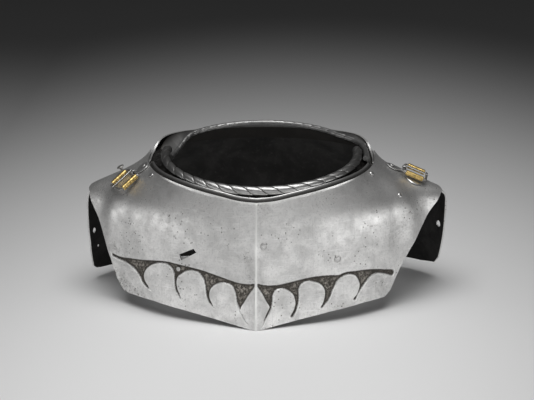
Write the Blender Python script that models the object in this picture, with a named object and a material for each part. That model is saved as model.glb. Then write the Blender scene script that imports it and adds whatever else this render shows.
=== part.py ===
"""A steel gorget: front and back plates, a neck lame, a roped front collar and a back collar.

Units are metres, +Z is up, -Y is the front and the origin is the middle of the base.
Every plate is a layer of one body surface. A place on it is an angle round the neck,
0 at the front and positive to the right, and a distance down from the neck edge.
"""
import math

import bmesh
import bpy
import numpy as np
from mathutils import Matrix, Vector
from mathutils.geometry import delaunay_2d_cdt

MM = 0.001

# Neck opening of the main plates
NECK_HALF_WIDTH = 97.2 * MM
NECK_DEPTH = 82 * MM
NECK_FRONT_HEIGHT = 101.5 * MM
NECK_RISE = 15.5 * MM

# Walls, layers and clearances
PLATE_WALL = 1.5 * MM
COLLAR_WALL = 1.2 * MM
LAME_WALL = 1.0 * MM
GAP = 0.35 * MM
LAYER_GAP = 0.85 * MM

# Layers: how far each piece's outer face lies out of the body surface
BACK_LAYER = -(PLATE_WALL + LAYER_GAP)
LAME_LAYER = -(PLATE_WALL + GAP)
COLLAR_STEP = COLLAR_WALL + 2 * LAYER_GAP
COLLAR_LAYER = BACK_LAYER - PLATE_WALL - LAYER_GAP - COLLAR_WALL / 2

# Collar ring, at the middle of its rims
COLLAR_HALF_WIDTH = 82 * MM
COLLAR_DEPTH = 75 * MM
COLLAR_FRONT_HEIGHT = 109.6 * MM
COLLAR_SIDE_HEIGHT = 121 * MM
COLLAR_BACK_HEIGHT = 130.5 * MM
ROPE_RADIUS = 4.1 * MM
ROPE_PITCH = 12.5 * MM
ROPE_CUT = 0.11
RIM_RADIUS = 2.2 * MM
COLLAR_HEM = 10 * MM
LAME_RISE = 4 * MM
LAME_END = 80
FRONT_COLLAR_LEFT = 97
FRONT_COLLAR_RIGHT = 97
BACK_COLLAR_RIGHT = 85
BACK_COLLAR_LEFT = 96
LEFT_DIP = math.radians(62)

# Front plate
SHOULDER_HEIGHT = 87 * MM
FRONT_END_ANGLE = 97
LIP = 0.6 * MM
LIP_END = 60
FRONT_SPACING = 10 * MM

# Lower edge of the front plate: angle, and height on the right and on the left as shares of
# the shoulder height
FRONT_EDGE = (
    (0, 0.0, 0.0),
    (1.5, 0.0, 0.0),
    (17, 0.049, 0.049),
    (35, 0.103, 0.103),
    (52, 0.136, 0.136),
    (63.5, 0.138, 0.133),
    (66.5, 0.190, 0.130),
    (70, 0.330, 0.142),
    (72.5, 0.455, 0.240),
    (75, 0.565, 0.430),
    (78, 0.660, 0.590),
    (81.5, 0.765, 0.725),
    (84.5, 0.890, 0.855),
    (88, 1.020, 1.020),
    (91.5, 1.080, 1.075),
)
HEM_END_ANGLE = 63.5

# Back plate
BACK_START_RIGHT = 85
BACK_START_LEFT = 86.5
BACK_SHOULDER_DOWN = 55 * MM
BACK_SPACING = 11.6 * MM
BACK_TUCK = 1.6 * MM
TUCK_START = 12 * MM
TUCK_END = 103
TUCK_EASE = 5

# Lower edge of the back plate, in the same way
BACK_EDGE = (
    (91, 1.070, 1.060),
    (93, 1.045, 0.970),
    (94.5, 0.975, 0.740),
    (96, 0.890, 0.540),
    (98, 0.710, 0.325),
    (100.3, 0.515, 0.142),
    (102, 0.380, 0.106),
    (104, 0.225, 0.094),
    (106, 0.153, 0.088),
    (112, 0.126, 0.076),
    (120, 0.120, 0.060),
    (135, 0.040, 0.030),
    (150, 0.0, 0.0),
    (180, 0.0, 0.0),
)

# Embossed band on the front plate: how deep its ground lies, and its tallest point
BAND_DEPTH = 0.9 * MM
BAND_HEIGHT = 40 * MM
BAND_WALL = 0.9 * MM

# Its top line on each side of the ridge: angle, and height above the hem as a share
BAND_TOP = (
    (0.35, 0.96),
    (7, 0.88),
    (17, 0.90),
    (34, 0.90),
    (49, 0.84),
    (60, 0.69),
    (67.8, 0.54),
)

# Its grooves between the lobes: angle of the lobe's crown beyond the groove, angle of the
# groove's throat, angle of its tip, and height of the tip as a share
GROOVES = (
    (15, 7.5, 3.2, 0.10),
    (30, 22.5, 17.5, 0.20),
    (47.5, 39, 33.5, 0.18),
    (65.5, 57, 50.5, 0.16),
)
THROAT_SHARE = 0.65
THROAT_HALF_WIDTH = 1.5 * MM
CROWN_DROP = 3.2 * MM

# The kite shape astride the ridge: angle and height share of its corner, and of its shoulder
KITE_ANGLE = 6.2
KITE_SHARE = 0.38
KITE_SHOULDER_ANGLE = 2.8
KITE_SHOULDER_SHARE = 0.74

# Slot in the front plate: angle and distance down of its corners
SLOT = ((-39.0, 56 * MM), (-32.0, 48 * MM), (-30.3, 50.2 * MM), (-38.0, 60 * MM))

# Rivets that fill holes of the plates: name, angle, distance down, radius of the head
RIVET_RISE = 0.9 * MM
RIVET_SHANK = 0.55
RIVET_SIDES = 10
RIVETS = (
    ("plug_rivet_centre", 4.0, 36 * MM, 3.1 * MM),
    ("plug_rivet_right", 40.5, 60 * MM, 3.0 * MM),
    ("side_rivet_right", 75.0, 34 * MM, 2.0 * MM),
    ("band_rivet_left", -39.5, 69 * MM, 1.8 * MM),
    ("neck_rivet_left", -68.5, 4.5 * MM, 2.2 * MM),
    ("neck_rivet_right", 72.5, 4.5 * MM, 2.2 * MM),
)

# Holes of the back plate's side strips: angle, distance down and radius
STRIP_HOLES = (
    (-99.5, 108 * MM, 2.5 * MM),
    (-102.25, 123.6 * MM, 1.2 * MM),
    (102.75, 108 * MM, 3.0 * MM),
)

# Shoulder pivot and closing stud: angle, distance down, then radii and heights
PIVOT = (88.5, 38 * MM)
PIVOT_DISC = 8.6 * MM
PIVOT_RISE = 1.1 * MM
PIVOT_SHANK = 2.4 * MM
STUD = (-89.3, 26 * MM)
STUD_HEAD = 3.2 * MM
STUD_STEM = 1.5 * MM
STUD_HEIGHT = 6.5 * MM

# Hasps and buckles
FIT = 0.3 * MM
STRAP_WALL = 1.0 * MM
HASP_WIDTH = 11 * MM
HASP_LENGTH = 13 * MM
HASP_EYE = 4 * MM
BAR_RADIUS = 1.1 * MM
BUCKLE_WIDTH = 22 * MM
BUCKLE_LENGTH = 20 * MM
BUCKLE_CORNER = 2 * MM
ROLLER_RADIUS = 2.3 * MM
PRONG_WIDTH = 2.0 * MM
PRONG_WALL = 0.8 * MM
EYE_SHIFT = -1.2 * MM
HASP_RIVET = 2.2 * MM

# Each shoulder's fitting: name, its hasp's angle, how far down its rivet and its eye are,
# how far the eye is raised, and how many degrees the buckle points to the front
FITTINGS = (
    ("left", -79.6, 4.5 * MM, 15 * MM, 0.0, 18.0),
    ("right", 92.0, 17 * MM, 28 * MM, 1.3 * MM, 6.0),
)

# Body surface
SHOULDER_RUN = 66 * MM
RIGHT_SHOULDER_EXTRA = 8.5 * MM
RIGHT_SHOULDER_RISE = 1.7
ROLL_SOFTNESS = 17 * MM
SIDE_SOFTNESS = 9 * MM
SIDE_ANGLE = 91
SIDE_WIDTH = 14
FLARE_RUN = 14 * MM
LONGEST_DOWN = 250 * MM

# Accuracy of the surface: steps down a profile, and nudges that give its directions
PROFILE_STEPS = 64
HALVINGS = 34
NUDGE_ANGLE = 0.05
NUDGE_DOWN = 0.05 * MM

# Width that a degree round the neck has on the flat drawing of a plate
DEGREE_WIDTH = 2 * MM

# Sections round the body: angle from the front, neck edge height as a share of its rise,
# slope at the neck edge, slope of the top, where it rolls over as a share of the shoulder
# run, and slope below the roll
SECTIONS = (
    (0, 0.00, 71, 73, 0.30, 76),
    (10, 0.08, 71, 72, 0.30, 80),
    (22, 0.29, 70, 68, 0.30, 83),
    (45, 0.61, 62, 55, 0.40, 86),
    (69, 0.88, 46, 36, 0.52, 90),
    (76, 0.97, 42, 30, 0.63, 89),
    (83, 1.06, 44, 25, 0.72, 88),
    (90, 1.15, 49, 20, 0.96, 86),
    (97, 1.34, 60, 20, 0.97, 86),
    (105, 1.66, 78, 24, 0.94, 86),
    (115, 1.78, 82, 29, 0.83, 85),
    (135, 1.72, 78, 40, 0.57, 82),
    (180, 1.66, 75, 62, 0.42, 80),
)
HEIGHT, FLARE, TOP, ROLL, LOW = range(1, 6)


def smooth_column(column, angle):
    """The sections' column at these angles, on a smooth curve through its rows."""
    rows = np.array(SECTIONS, float)
    at = rows[:, 0]
    value = rows[:, column]
    inner = (value[2:] - value[:-2]) / (at[2:] - at[:-2])
    first = (value[1] - value[0]) / (at[1] - at[0])
    slope = np.concatenate([[first], inner, [0.0]])
    angle = np.abs((np.asarray(angle, float) + 180) % 360 - 180)
    row = np.clip(np.searchsorted(at, angle) - 1, 0, len(at) - 2)
    step = at[row + 1] - at[row]
    t = (angle - at[row]) / step
    return (
        value[row] * (2 * t**3 - 3 * t**2 + 1)
        + slope[row] * step * (t**3 - 2 * t**2 + t)
        + value[row + 1] * (3 * t**2 - 2 * t**3)
        + slope[row + 1] * step * (t**3 - t**2)
    )


def neck_edge(angle):
    """Radius and height of the neck edge at these angles."""
    turn = np.radians(angle)
    radius = 1 / np.sqrt((np.sin(turn) / NECK_HALF_WIDTH) ** 2 + (np.cos(turn) / NECK_DEPTH) ** 2)
    return radius, NECK_FRONT_HEIGHT + NECK_RISE * smooth_column(HEIGHT, angle)


def shoulder_run(angle):
    """Length of the shoulder's top, a little more on the right."""
    right = 0.5 + 0.5 * np.tanh((np.asarray(angle, float) - 86) / 5)
    behind = 0.5 + 0.5 * np.tanh((np.asarray(angle, float) - 125) / 10)
    return SHOULDER_RUN + RIGHT_SHOULDER_EXTRA * right * (1 - behind)


def beside(angle, start):
    """How near these angles are to a shoulder, from 0 at the start to 1 at the side."""
    turn = np.abs((np.asarray(angle, float) + 180) % 360 - 180)
    share = np.clip((turn - start) / (SIDE_ANGLE - start), 0, 1)
    share = share * (1 - np.clip((turn - SIDE_ANGLE - SIDE_WIDTH) / SIDE_WIDTH, 0, 1))
    return share * share * (3 - 2 * share)


def profile(angle, down):
    """Radius and height at a distance down from the neck edge, negative above it."""
    angle = np.asarray(angle, float)
    down = np.asarray(down, float)
    flare, top, roll, low = (smooth_column(c, angle)[..., None] for c in (FLARE, TOP, ROLL, LOW))
    run = down[..., None] * (np.arange(PROFILE_STEPS) + 0.5) / PROFILE_STEPS
    top = top - (RIGHT_SHOULDER_RISE * beside(angle, 55) * (np.sin(np.radians(angle)) > 0))[..., None]
    softness = (ROLL_SOFTNESS - (ROLL_SOFTNESS - SIDE_SOFTNESS) * beside(angle, 78))[..., None]
    rolled = 0.5 + 0.5 * np.tanh((run - roll * shoulder_run(angle)[..., None]) / softness)
    slope = np.radians(top + (flare - top) * np.exp(-run / FLARE_RUN) + (low - top) * rolled)
    radius, height = neck_edge(angle)
    out = np.cos(slope).mean(axis=-1) * down
    fall = np.sin(slope).mean(axis=-1) * down
    return radius + out, height - fall


def on_profile(angle, down):
    """Points on the body surface."""
    radius, height = profile(angle, down)
    turn = np.radians(angle)
    return np.stack([radius * np.sin(turn), -radius * np.cos(turn), height], axis=-1)


def directions(angle, down):
    """Unit vectors at a place: down the plate, round it to the right, and out of it."""
    along = on_profile(angle, down + NUDGE_DOWN) - on_profile(angle, down - NUDGE_DOWN)
    across = on_profile(angle + NUDGE_ANGLE, down) - on_profile(angle - NUDGE_ANGLE, down)
    along = along / np.linalg.norm(along, axis=-1, keepdims=True)
    out = np.cross(along, across)
    out = out / np.linalg.norm(out, axis=-1, keepdims=True)
    return along, np.cross(out, along), out


def body(angle, down, out=0.0):
    """Points on the body surface, moved out along its normal."""
    angle = np.asarray(angle, float)
    down = np.asarray(down, float)
    normal = directions(angle, down)[2]
    return on_profile(angle, down) + normal * np.asarray(out, float)[..., None]


def down_to(angle, height):
    """Distance down the body surface to this height."""
    low = np.zeros_like(np.asarray(angle, float))
    high = low + LONGEST_DOWN
    for _ in range(HALVINGS):
        middle = (low + high) / 2
        above = profile(angle, middle)[1] > height
        low = np.where(above, middle, low)
        high = np.where(above, high, middle)
    return low


def new_material(name, colour, roughness):
    """Plain metal in this colour."""
    material = bpy.data.materials.new(name)
    material.use_nodes = True
    shader = material.node_tree.nodes["Principled BSDF"]
    shader.inputs["Base Color"].default_value = (*colour, 1)
    shader.inputs["Metallic"].default_value = 1
    shader.inputs["Roughness"].default_value = roughness
    return material


def new_object(name, points, faces, material):
    """One named object from points and faces, shaded smooth between its sharp edges."""
    mesh = bpy.data.meshes.new(name)
    mesh.from_pydata([tuple(map(float, p)) for p in points], [], [list(f) for f in faces])
    shape = bmesh.new()
    shape.from_mesh(mesh)
    bmesh.ops.recalc_face_normals(shape, faces=shape.faces)
    shape.to_mesh(mesh)
    shape.free()
    mesh.materials.append(material)
    mesh.shade_smooth()
    mesh.set_sharp_from_angle(angle=math.radians(35))
    mesh.update()
    obj = bpy.data.objects.new(name, mesh)
    bpy.context.scene.collection.objects.link(obj)
    return obj


def flat(angle, down):
    """A place on the plate as a flat point, in millimetres."""
    return np.stack([np.asarray(angle) * DEGREE_WIDTH / MM, np.asarray(down) / MM], axis=-1)


def inside(points, ring):
    """Which of the flat points lie inside a closed ring."""
    found = np.zeros(len(points), bool)
    for a, b in zip(ring, np.roll(ring, -1, axis=0)):
        crosses = (a[1] > points[:, 1]) != (b[1] > points[:, 1])
        rise = b[1] - a[1] if b[1] != a[1] else 1.0
        found ^= crosses & (points[:, 0] < a[0] + (points[:, 1] - a[1]) * (b[0] - a[0]) / rise)
    return found


def far_from(points, ring, gap):
    """Which of the flat points lie at least a gap from a closed ring."""
    keep = np.ones(len(points), bool)
    for a, b in zip(ring, np.roll(ring, -1, axis=0)):
        along = b - a
        share = np.clip((points - a) @ along / max(along @ along, 1e-12), 0, 1)
        keep &= np.linalg.norm(points - a - share[:, None] * along, axis=1) > gap
    return keep


def divided(ring, step):
    """The same closed ring with no side longer than a step."""
    points = []
    for a, b in zip(ring, np.roll(ring, -1, axis=0)):
        parts = max(1, math.ceil(np.linalg.norm(b - a) / step))
        points += [a + (b - a) * i / parts for i in range(parts)]
    return np.array(points)


def triangles(points, edges):
    """Flat triangles that keep these edges, with the place of each of their points."""
    found = delaunay_2d_cdt([Vector(p) for p in points], edges, [], 1, 1e-7)
    return np.array([tuple(p) for p in found[0]]), np.array(found[2], int), found[3]


def plate(name, outline, holes, reliefs, spacing, layer, wall, material, creases=(), lip=0.0):
    """A plate of even wall that lies on the body surface, with holes and sunken shapes.

    Outline and holes are flat rings. A relief is a pair of rings, its rim and its floor.
    """
    outline = divided(outline, spacing / MM)
    rings = [outline, *holes]
    edge = (np.abs(outline[:, 1]) < 1e-9) & (np.abs(outline[:, 0]) < LIP_END * DEGREE_WIDTH / MM)
    levels = [np.where(edge, lip, 0.0)]
    levels += [np.zeros(len(h)) for h in holes]
    for rim, floor in reliefs:
        rings += [rim, floor]
        levels += [np.zeros(len(rim)), np.full(len(floor), -BAND_DEPTH)]
    points, edges, level = [], [], []
    for ring, height in zip(rings, levels):
        first = len(points)
        points += list(ring)
        level += list(height)
        edges += [(first + i, first + (i + 1) % len(ring)) for i in range(len(ring))]
    step = spacing / MM
    low, high = outline.min(axis=0), outline.max(axis=0)
    rows = max(2, round((high[1] - low[1]) / (step * 0.87)))
    columns = max(2, round((high[0] - low[0]) / step / 2)) * 2
    grid = np.array([
        (low[0] + (high[0] - low[0]) * (i + 0.5 * (j % 2)) / columns, low[1] + (high[1] - low[1]) * j / rows)
        for j in range(rows + 1)
        for i in range(columns + 1)
    ])
    for crease in creases:
        first = len(points)
        points += list(crease)
        level += [0.0] * len(crease)
        edges += [(first + i, first + i + 1) for i in range(len(crease) - 1)]
        grid = grid[far_from(grid, crease, step * 0.4)]
    grid = grid[inside(grid, outline)]
    for number, ring in enumerate(rings):
        grid = grid[far_from(grid, ring, step * (0.45 if number == 0 else 0.28))]
    for _, floor in reliefs:
        sunk = inside(grid, floor)
        points += list(grid[sunk])
        level += [-BAND_DEPTH] * int(sunk.sum())
        grid = grid[~sunk]
    points += list(grid)
    level += [0.0] * len(grid)

    spots, faces, sources = triangles(points, edges)
    middle = spots[faces].mean(axis=1)
    keep = np.ones(len(faces), bool)
    for hole in holes:
        keep &= ~inside(middle, hole)
    faces = faces[keep]
    level = np.array([level[source[0]] if source else 0.0 for source in sources])
    angle = spots[:, 0] * MM / DEGREE_WIDTH
    down = spots[:, 1] * MM
    layer = layer(angle, down)
    outer = body(angle, down, layer + level)
    inner = body(angle, down, layer + np.minimum(level, 0) - wall)
    outer[:, 2] = np.maximum(outer[:, 2], 0)
    inner[:, 2] = np.maximum(inner[:, 2], 0)

    a, b, c = (outer[faces[:, i]] for i in range(3))
    out = directions(angle[faces[:, 0]], down[faces[:, 0]])[2]
    turned = (np.cross(b - a, c - a) * out).sum(axis=1) < 0
    faces[turned] = faces[turned][:, ::-1]
    sides = {}
    for face in faces:
        for i in range(3):
            sides[(face[i], face[(i + 1) % 3])] = True
    count = len(spots)
    every = [tuple(f) for f in faces] + [tuple(f[::-1] + count) for f in faces]
    for i, j in sides:
        if (j, i) not in sides:
            every += [(j, i, i + count, j + count)]
    used = sorted({i for f in every for i in f})
    number = {old: new for new, old in enumerate(used)}
    both = np.concatenate([outer, inner])[used]
    return new_object(name, both, [[number[i] for i in f] for f in every], material)


def edge_height(rows, angle, side):
    """Height of a lower edge at angles from the ridge, on one side."""
    table = np.array(rows, float)
    return np.interp(angle, table[:, 0], table[:, 1 if side > 0 else 2]) * SHOULDER_HEIGHT


def edge_ring(rows, side, count):
    """Flat points along a lower edge on one side, from its table's first angle to its last."""
    rows_angle = [row[0] for row in rows]
    angle = np.unique(np.concatenate([np.linspace(rows_angle[0], rows_angle[-1], count), rows_angle]))
    return flat(side * angle, down_to(side * angle, edge_height(rows, angle, side)))


def drilled(angle, down, radius, sides=10):
    """Flat ring of a round hole in a plate."""
    turn = 2 * np.pi * np.arange(sides) / sides
    along, across, _ = directions(np.array(float(angle)), np.array(float(down)))
    here = on_profile(np.array(float(angle)), np.array(float(down)))
    width = np.linalg.norm(on_profile(np.array(angle + 1.0), np.array(float(down))) - here)
    return flat(angle + radius / width * np.cos(turn), down + radius * np.sin(turn))


def front_outline():
    """Flat ring round the front plate."""
    neck = np.linspace(-FRONT_END_ANGLE, FRONT_END_ANGLE, 41)
    right = edge_ring(FRONT_EDGE, 1, 18)[::-1]
    left = edge_ring(FRONT_EDGE, -1, 18)[1:]
    return np.concatenate([flat(neck, 0 * neck), right, left])


def hem_down(angle):
    """Distance down the plate to the hem, carried on past the corners."""
    near = np.minimum(np.abs(angle), HEM_END_ANGLE)
    right = edge_height(FRONT_EDGE, near, 1)
    left = edge_height(FRONT_EDGE, near, -1)
    return down_to(angle, np.where(np.asarray(angle) > 0, right, left))


def band_place(angle, above):
    """Flat point of the band at a height above the hem."""
    angle = np.asarray(angle, float)
    return flat(angle, hem_down(angle) - np.asarray(above, float))


def band_ring(side, inset):
    """Flat ring round the ground of the band on one side, drawn in by an inset."""
    degree = DEGREE_WIDTH
    table = np.array(BAND_TOP, float)
    top_angle = np.linspace(table[0, 0] + inset / degree, table[-1, 0] - inset / degree, 15)
    top = np.interp(top_angle, table[:, 0], table[:, 1]) * BAND_HEIGHT
    places = [(a, t - inset) for a, t in zip(top_angle, top)]
    for number in reversed(range(len(GROOVES))):
        crown, mouth, tip, tip_share = GROOVES[number]
        tip_above = tip_share * BAND_HEIGHT
        crown_above = np.interp(crown, table[:, 0], table[:, 1]) * BAND_HEIGHT - CROWN_DROP
        reach = (crown - mouth) - THROAT_HALF_WIDTH / degree
        low = THROAT_SHARE * crown_above
        span = np.radians(np.linspace(0, 90, 6))
        if number == len(GROOVES) - 1:
            outer = np.radians(np.linspace(50, 0, 3))[:-1]
            wide = (table[-1, 0] - crown) * 1.05
            places += [
                (min(crown + (wide + inset / degree) * np.sin(t), table[-1, 0] - inset / degree),
                 low + (crown_above + inset - low) * np.cos(t))
                for t in outer
            ]
        places += [
            (crown - (reach + inset / degree) * np.sin(t), low + (crown_above + inset - low) * np.cos(t))
            for t in span
        ]
        steps = np.linspace(1, 0, 4)[1:]
        for beyond, turn in ((1, steps), (-1, steps[::-1][1:])):
            for t in turn:
                half = (THROAT_HALF_WIDTH - inset) / degree * t
                centre = tip + (mouth - tip) * (1 - (1 - t) ** 2)
                rise = tip_above + 2 * inset + (low - tip_above - 2 * inset) * t
                places.append((centre + beyond * half, rise))
        if number:
            before = GROOVES[number - 1][0]
            reach = (mouth - before) - THROAT_HALF_WIDTH / degree
            crown_above = np.interp(before, table[:, 0], table[:, 1]) * BAND_HEIGHT - CROWN_DROP
            low = THROAT_SHARE * crown_above
            places += [
                (before + (reach + inset / degree) * np.sin(t), low + (crown_above + inset - low) * np.cos(t))
                for t in span[::-1][:-1]
            ]
        else:
            shift = inset / degree
            places.append((KITE_ANGLE + shift, KITE_SHARE * BAND_HEIGHT))
            places.append((KITE_SHOULDER_ANGLE + shift, KITE_SHOULDER_SHARE * BAND_HEIGHT))
    angle = np.array([p[0] for p in places])
    above = np.array([p[1] for p in places])
    return band_place(side * angle, above)


def sweep(name, places, section, material, closed=False):
    """A solid through a ring of section points at each place, with flat ends or closed on itself."""
    rings = [section(place) for place in places]
    size = len(rings[0])
    faces = []
    for i in range(len(rings) if closed else len(rings) - 1):
        onward = (i + 1) % len(rings) * size
        for j in range(size):
            k = (j + 1) % size
            faces.append((i * size + j, i * size + k, onward + k, onward + j))
    if not closed:
        faces.append(tuple(range(size))[::-1])
        faces.append(tuple((len(rings) - 1) * size + j for j in range(size)))
    return new_object(name, np.concatenate(rings), faces, material)


def turned(name, angle, down, sections, material, sides=RIVET_SIDES):
    """A round piece that stands on the plates, through rings of a radius and a distance out."""

    def section(row):
        ring = drilled(angle, down, row[0], sides)
        return body(ring[:, 0] * MM / DEGREE_WIDTH, ring[:, 1] * MM, row[1])

    return sweep(name, sections, section, material)


def rivet(name, angle, down, radius, material, layer=0.0, through=PLATE_WALL):
    """A low domed rivet with its shank in the plate's hole."""
    foot = layer + GAP
    shank = radius * RIVET_SHANK
    sections = [
        (radius * 0.42, foot + RIVET_RISE),
        (radius * 0.82, foot + RIVET_RISE * 0.72),
        (radius, foot + RIVET_RISE * 0.15),
        (radius * 0.96, foot),
        (shank, foot),
        (shank, layer - through + FIT),
    ]
    return turned(name, angle, down, sections, material)


def cut(obj, cutter):
    """Take a cutter's shape out of an object."""
    cutter.hide_render = True
    cutter.display_type = "WIRE"
    modifier = obj.modifiers.new("hole", "BOOLEAN")
    modifier.operation = "DIFFERENCE"
    modifier.solver = "EXACT"
    modifier.object = cutter


def eye_frame(fitting):
    """Middle of a buckle's inner bar, with the ways along the buckle, to the back, along the bar and up."""
    _, angle, _, eye_down, raised, turn = fitting
    lift = GAP + STRAP_WALL + FIT + BAR_RADIUS + raised
    angle, eye_down = np.array(float(angle)), np.array(float(eye_down))
    along, right, up = directions(angle, eye_down)
    back = right * np.sign(angle)
    turn = math.radians(turn)
    onward = along * math.cos(turn) - back * math.sin(turn)
    across = back * math.cos(turn) + along * math.sin(turn)
    return body(angle, eye_down, lift), onward, back, across, up


def strip(name, line, faces_out, across, widths, shifts, wall, material):
    """A flat strip along a line of points."""

    def section(i):
        middle = line[i] + across[i] * shifts[i]
        side = across[i] * widths[i] / 2
        lift = faces_out[i] * wall / 2
        return np.array([middle + side + lift, middle - side + lift, middle - side - lift, middle + side - lift])

    return sweep(name, range(len(line)), section, material)


def hasp(fitting, material):
    """A hasp: a strap riveted on the shoulder, curled round the buckle's inner bar."""
    side, angle, rivet_down, eye_down, raised, _ = fitting
    middle, onward, back, across, up = eye_frame(fitting)
    first = rivet_down - HASP_LENGTH * 0.3
    share = np.linspace(0, 1, 8)
    downs = first + (eye_down - first) * share
    outs = GAP + STRAP_WALL / 2 + raised * np.clip((share - 0.55) / 0.4, 0, 1)
    line = list(body(np.full(8, float(angle)), downs, outs))
    faces_out = [up] * 8
    widths = list(HASP_WIDTH * np.array([0.5, 0.86, 1.0, 1.0, 0.9, 0.66, 0.0, 0.0]))
    widths[6:] = [HASP_EYE] * 2
    shifts = [0.0] * 5 + [EYE_SHIFT / 3, EYE_SHIFT, EYE_SHIFT]
    ways = [back] * 6 + [across] * 2
    radius = BAR_RADIUS + FIT + STRAP_WALL / 2
    for turn in np.radians(np.linspace(0, 262, 9))[1:]:
        way = onward * math.sin(turn) - up * math.cos(turn)
        line.append(middle + way * radius)
        faces_out.append(-way)
        ways.append(across)
        widths.append(HASP_EYE)
        shifts.append(EYE_SHIFT)
    made = strip("hasp_" + side, line, faces_out, ways, widths, shifts, STRAP_WALL, material)
    radius = HASP_RIVET * RIVET_SHANK + FIT
    cut(made, turned("hasp_hole_" + side, angle, rivet_down, [(radius, 4 * MM), (radius, -MM)], material))
    return made


def buckle_frame(fitting, material):
    """A buckle's frame: two cross bars and two side bars of round wire."""
    side = fitting[0]
    middle, onward, _, across, up = eye_frame(fitting)
    half, length, corner = BUCKLE_WIDTH / 2, BUCKLE_LENGTH, BUCKLE_CORNER
    centres = (
        (length - corner, half - corner, 0),
        (corner, half - corner, 90),
        (corner, corner - half, 180),
        (length - corner, corner - half, 270),
    )
    path, outward = [], []
    for x, y, start in centres:
        for turn in np.radians(start + np.array([0, 45, 90])):
            way = onward * math.cos(turn) + across * math.sin(turn)
            path.append(middle + onward * x + across * y + way * corner)
            outward.append(way)

    def section(i):
        return np.array([
            path[i] + (outward[i] * math.cos(t) + up * math.sin(t)) * BAR_RADIUS
            for t in 2 * np.pi * np.arange(8) / 8
        ])

    return sweep("buckle_" + side, range(len(path)), section, material, closed=True)


def roller(fitting, name, place, material):
    """A brass roller round one of a buckle's side bars."""
    middle, onward, _, across, up = eye_frame(fitting)
    centre = middle + across * place * BUCKLE_WIDTH / 2 + onward * BUCKLE_LENGTH / 2
    half = BUCKLE_LENGTH / 2 - BUCKLE_CORNER - FIT / 2

    def section(turn):
        way = across * math.cos(turn) + up * math.sin(turn)
        inner, outer = BAR_RADIUS + FIT, ROLLER_RADIUS
        return np.array([
            centre + onward * end + way * radius
            for end, radius in ((-half, inner), (half, inner), (half, outer), (-half, outer))
        ])

    turns = 2 * np.pi * np.arange(14) / 14
    return move_origin(sweep(name, turns, section, material, closed=True), centre)


def prong(fitting, material):
    """A buckle's prong: a thin strip curled round the inner bar, with its tip on the outer one."""
    middle, onward, _, across, up = eye_frame(fitting)
    radius = BAR_RADIUS + FIT + PRONG_WALL / 2
    line, faces_out = [], []
    for turn in np.radians(np.linspace(262, 0, 9)):
        way = up * math.cos(turn) - onward * math.sin(turn)
        line.append(middle + way * radius)
        faces_out.append(way)
    for reach in (0.5, 0.92, 1.08):
        line.append(middle + up * radius + onward * BUCKLE_LENGTH * reach)
        faces_out.append(up)
    widths = [PRONG_WIDTH] * 10 + [PRONG_WIDTH * 0.8, PRONG_WIDTH * 0.35]
    shifts = [EYE_SHIFT + HASP_EYE / 2 + FIT + PRONG_WIDTH / 2] * len(line)
    return strip("prong_" + fitting[0], line, faces_out, [across] * len(line), widths, shifts, PRONG_WALL, material)


def move_origin(obj, place):
    """Put an object's origin on a place and leave its shape where it is."""
    place = Vector(map(float, place))
    obj.data.transform(Matrix.Translation(-place))
    obj.location = place
    return obj


def ring_place(angle, shift):
    """Middle of the collar's rim at an angle, as radius and height."""
    turn = math.radians(angle)
    radius = 1 / math.hypot(math.sin(turn) / COLLAR_HALF_WIDTH, math.cos(turn) / COLLAR_DEPTH)
    first = (COLLAR_FRONT_HEIGHT - COLLAR_BACK_HEIGHT) / 2
    second = (COLLAR_FRONT_HEIGHT + COLLAR_BACK_HEIGHT) / 4 - COLLAR_SIDE_HEIGHT / 2
    height = COLLAR_SIDE_HEIGHT + second + first * math.cos(turn) + second * math.cos(2 * turn)
    return np.array([radius, height]) + shift


def collar_section(angle, shift, layer, radius_at, arc_points):
    """Ring of points of a collar at an angle: its rim and the skirt that runs under the plate."""
    top = ring_place(angle, shift)
    turn = math.radians(angle)
    under = body(np.full(2, float(angle)), np.array([0.0, COLLAR_HEM]), layer)
    line = [top, *(np.array([math.hypot(p[0], p[1]), p[2]]) for p in under)]
    along = [(b - a) / np.linalg.norm(b - a) for a, b in zip(line, line[1:])]
    out = [np.array([-a[1], a[0]]) for a in along]
    half = COLLAR_WALL / 2
    bend = (out[0] + out[1]) / (1 + out[0] @ out[1])
    start = math.asin(half / radius_at(0.0))
    ring = [line[2] + out[1] * half, line[1] + bend * half]
    for t in np.linspace(start, 2 * math.pi - start, arc_points):
        ring.append(top + (along[0] * math.cos(t) + out[0] * math.sin(t)) * radius_at(t))
    ring += [line[1] - bend * half, line[2] - out[1] * half]
    ring = np.array(ring)
    return np.stack([ring[:, 0] * math.sin(turn), -ring[:, 0] * math.cos(turn), ring[:, 1]], axis=1)


def lap(angle, start, full):
    """Share of an overlap at an angle, which grows smoothly from its start to its full value."""
    share = min(1.0, max(0.0, (angle - start) / (full - start)))
    return share * share * (3 - 2 * share)


def front_collar(material):
    """Front collar with its roped rim. It dips under the back collar's end on the right."""
    angles = np.linspace(-FRONT_COLLAR_LEFT, FRONT_COLLAR_RIGHT, 65)
    mean = (COLLAR_HALF_WIDTH + COLLAR_DEPTH) / 2

    def section(angle):
        phase = 2 * math.pi * math.radians(angle) * mean / ROPE_PITCH

        def radius_at(turn):
            flank = min(1.0, abs(math.sin(turn / 2)) * 2.2)
            groove = 0.5 + 0.5 * math.cos(phase - turn)
            return ROPE_RADIUS * (1 - ROPE_CUT * flank * groove)

        layer = COLLAR_LAYER - COLLAR_STEP * lap(angle, 50, 80)
        return collar_section(angle, (0.0, 0.0), layer, radius_at, 10)

    return sweep("front_collar", angles, section, material)


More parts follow.
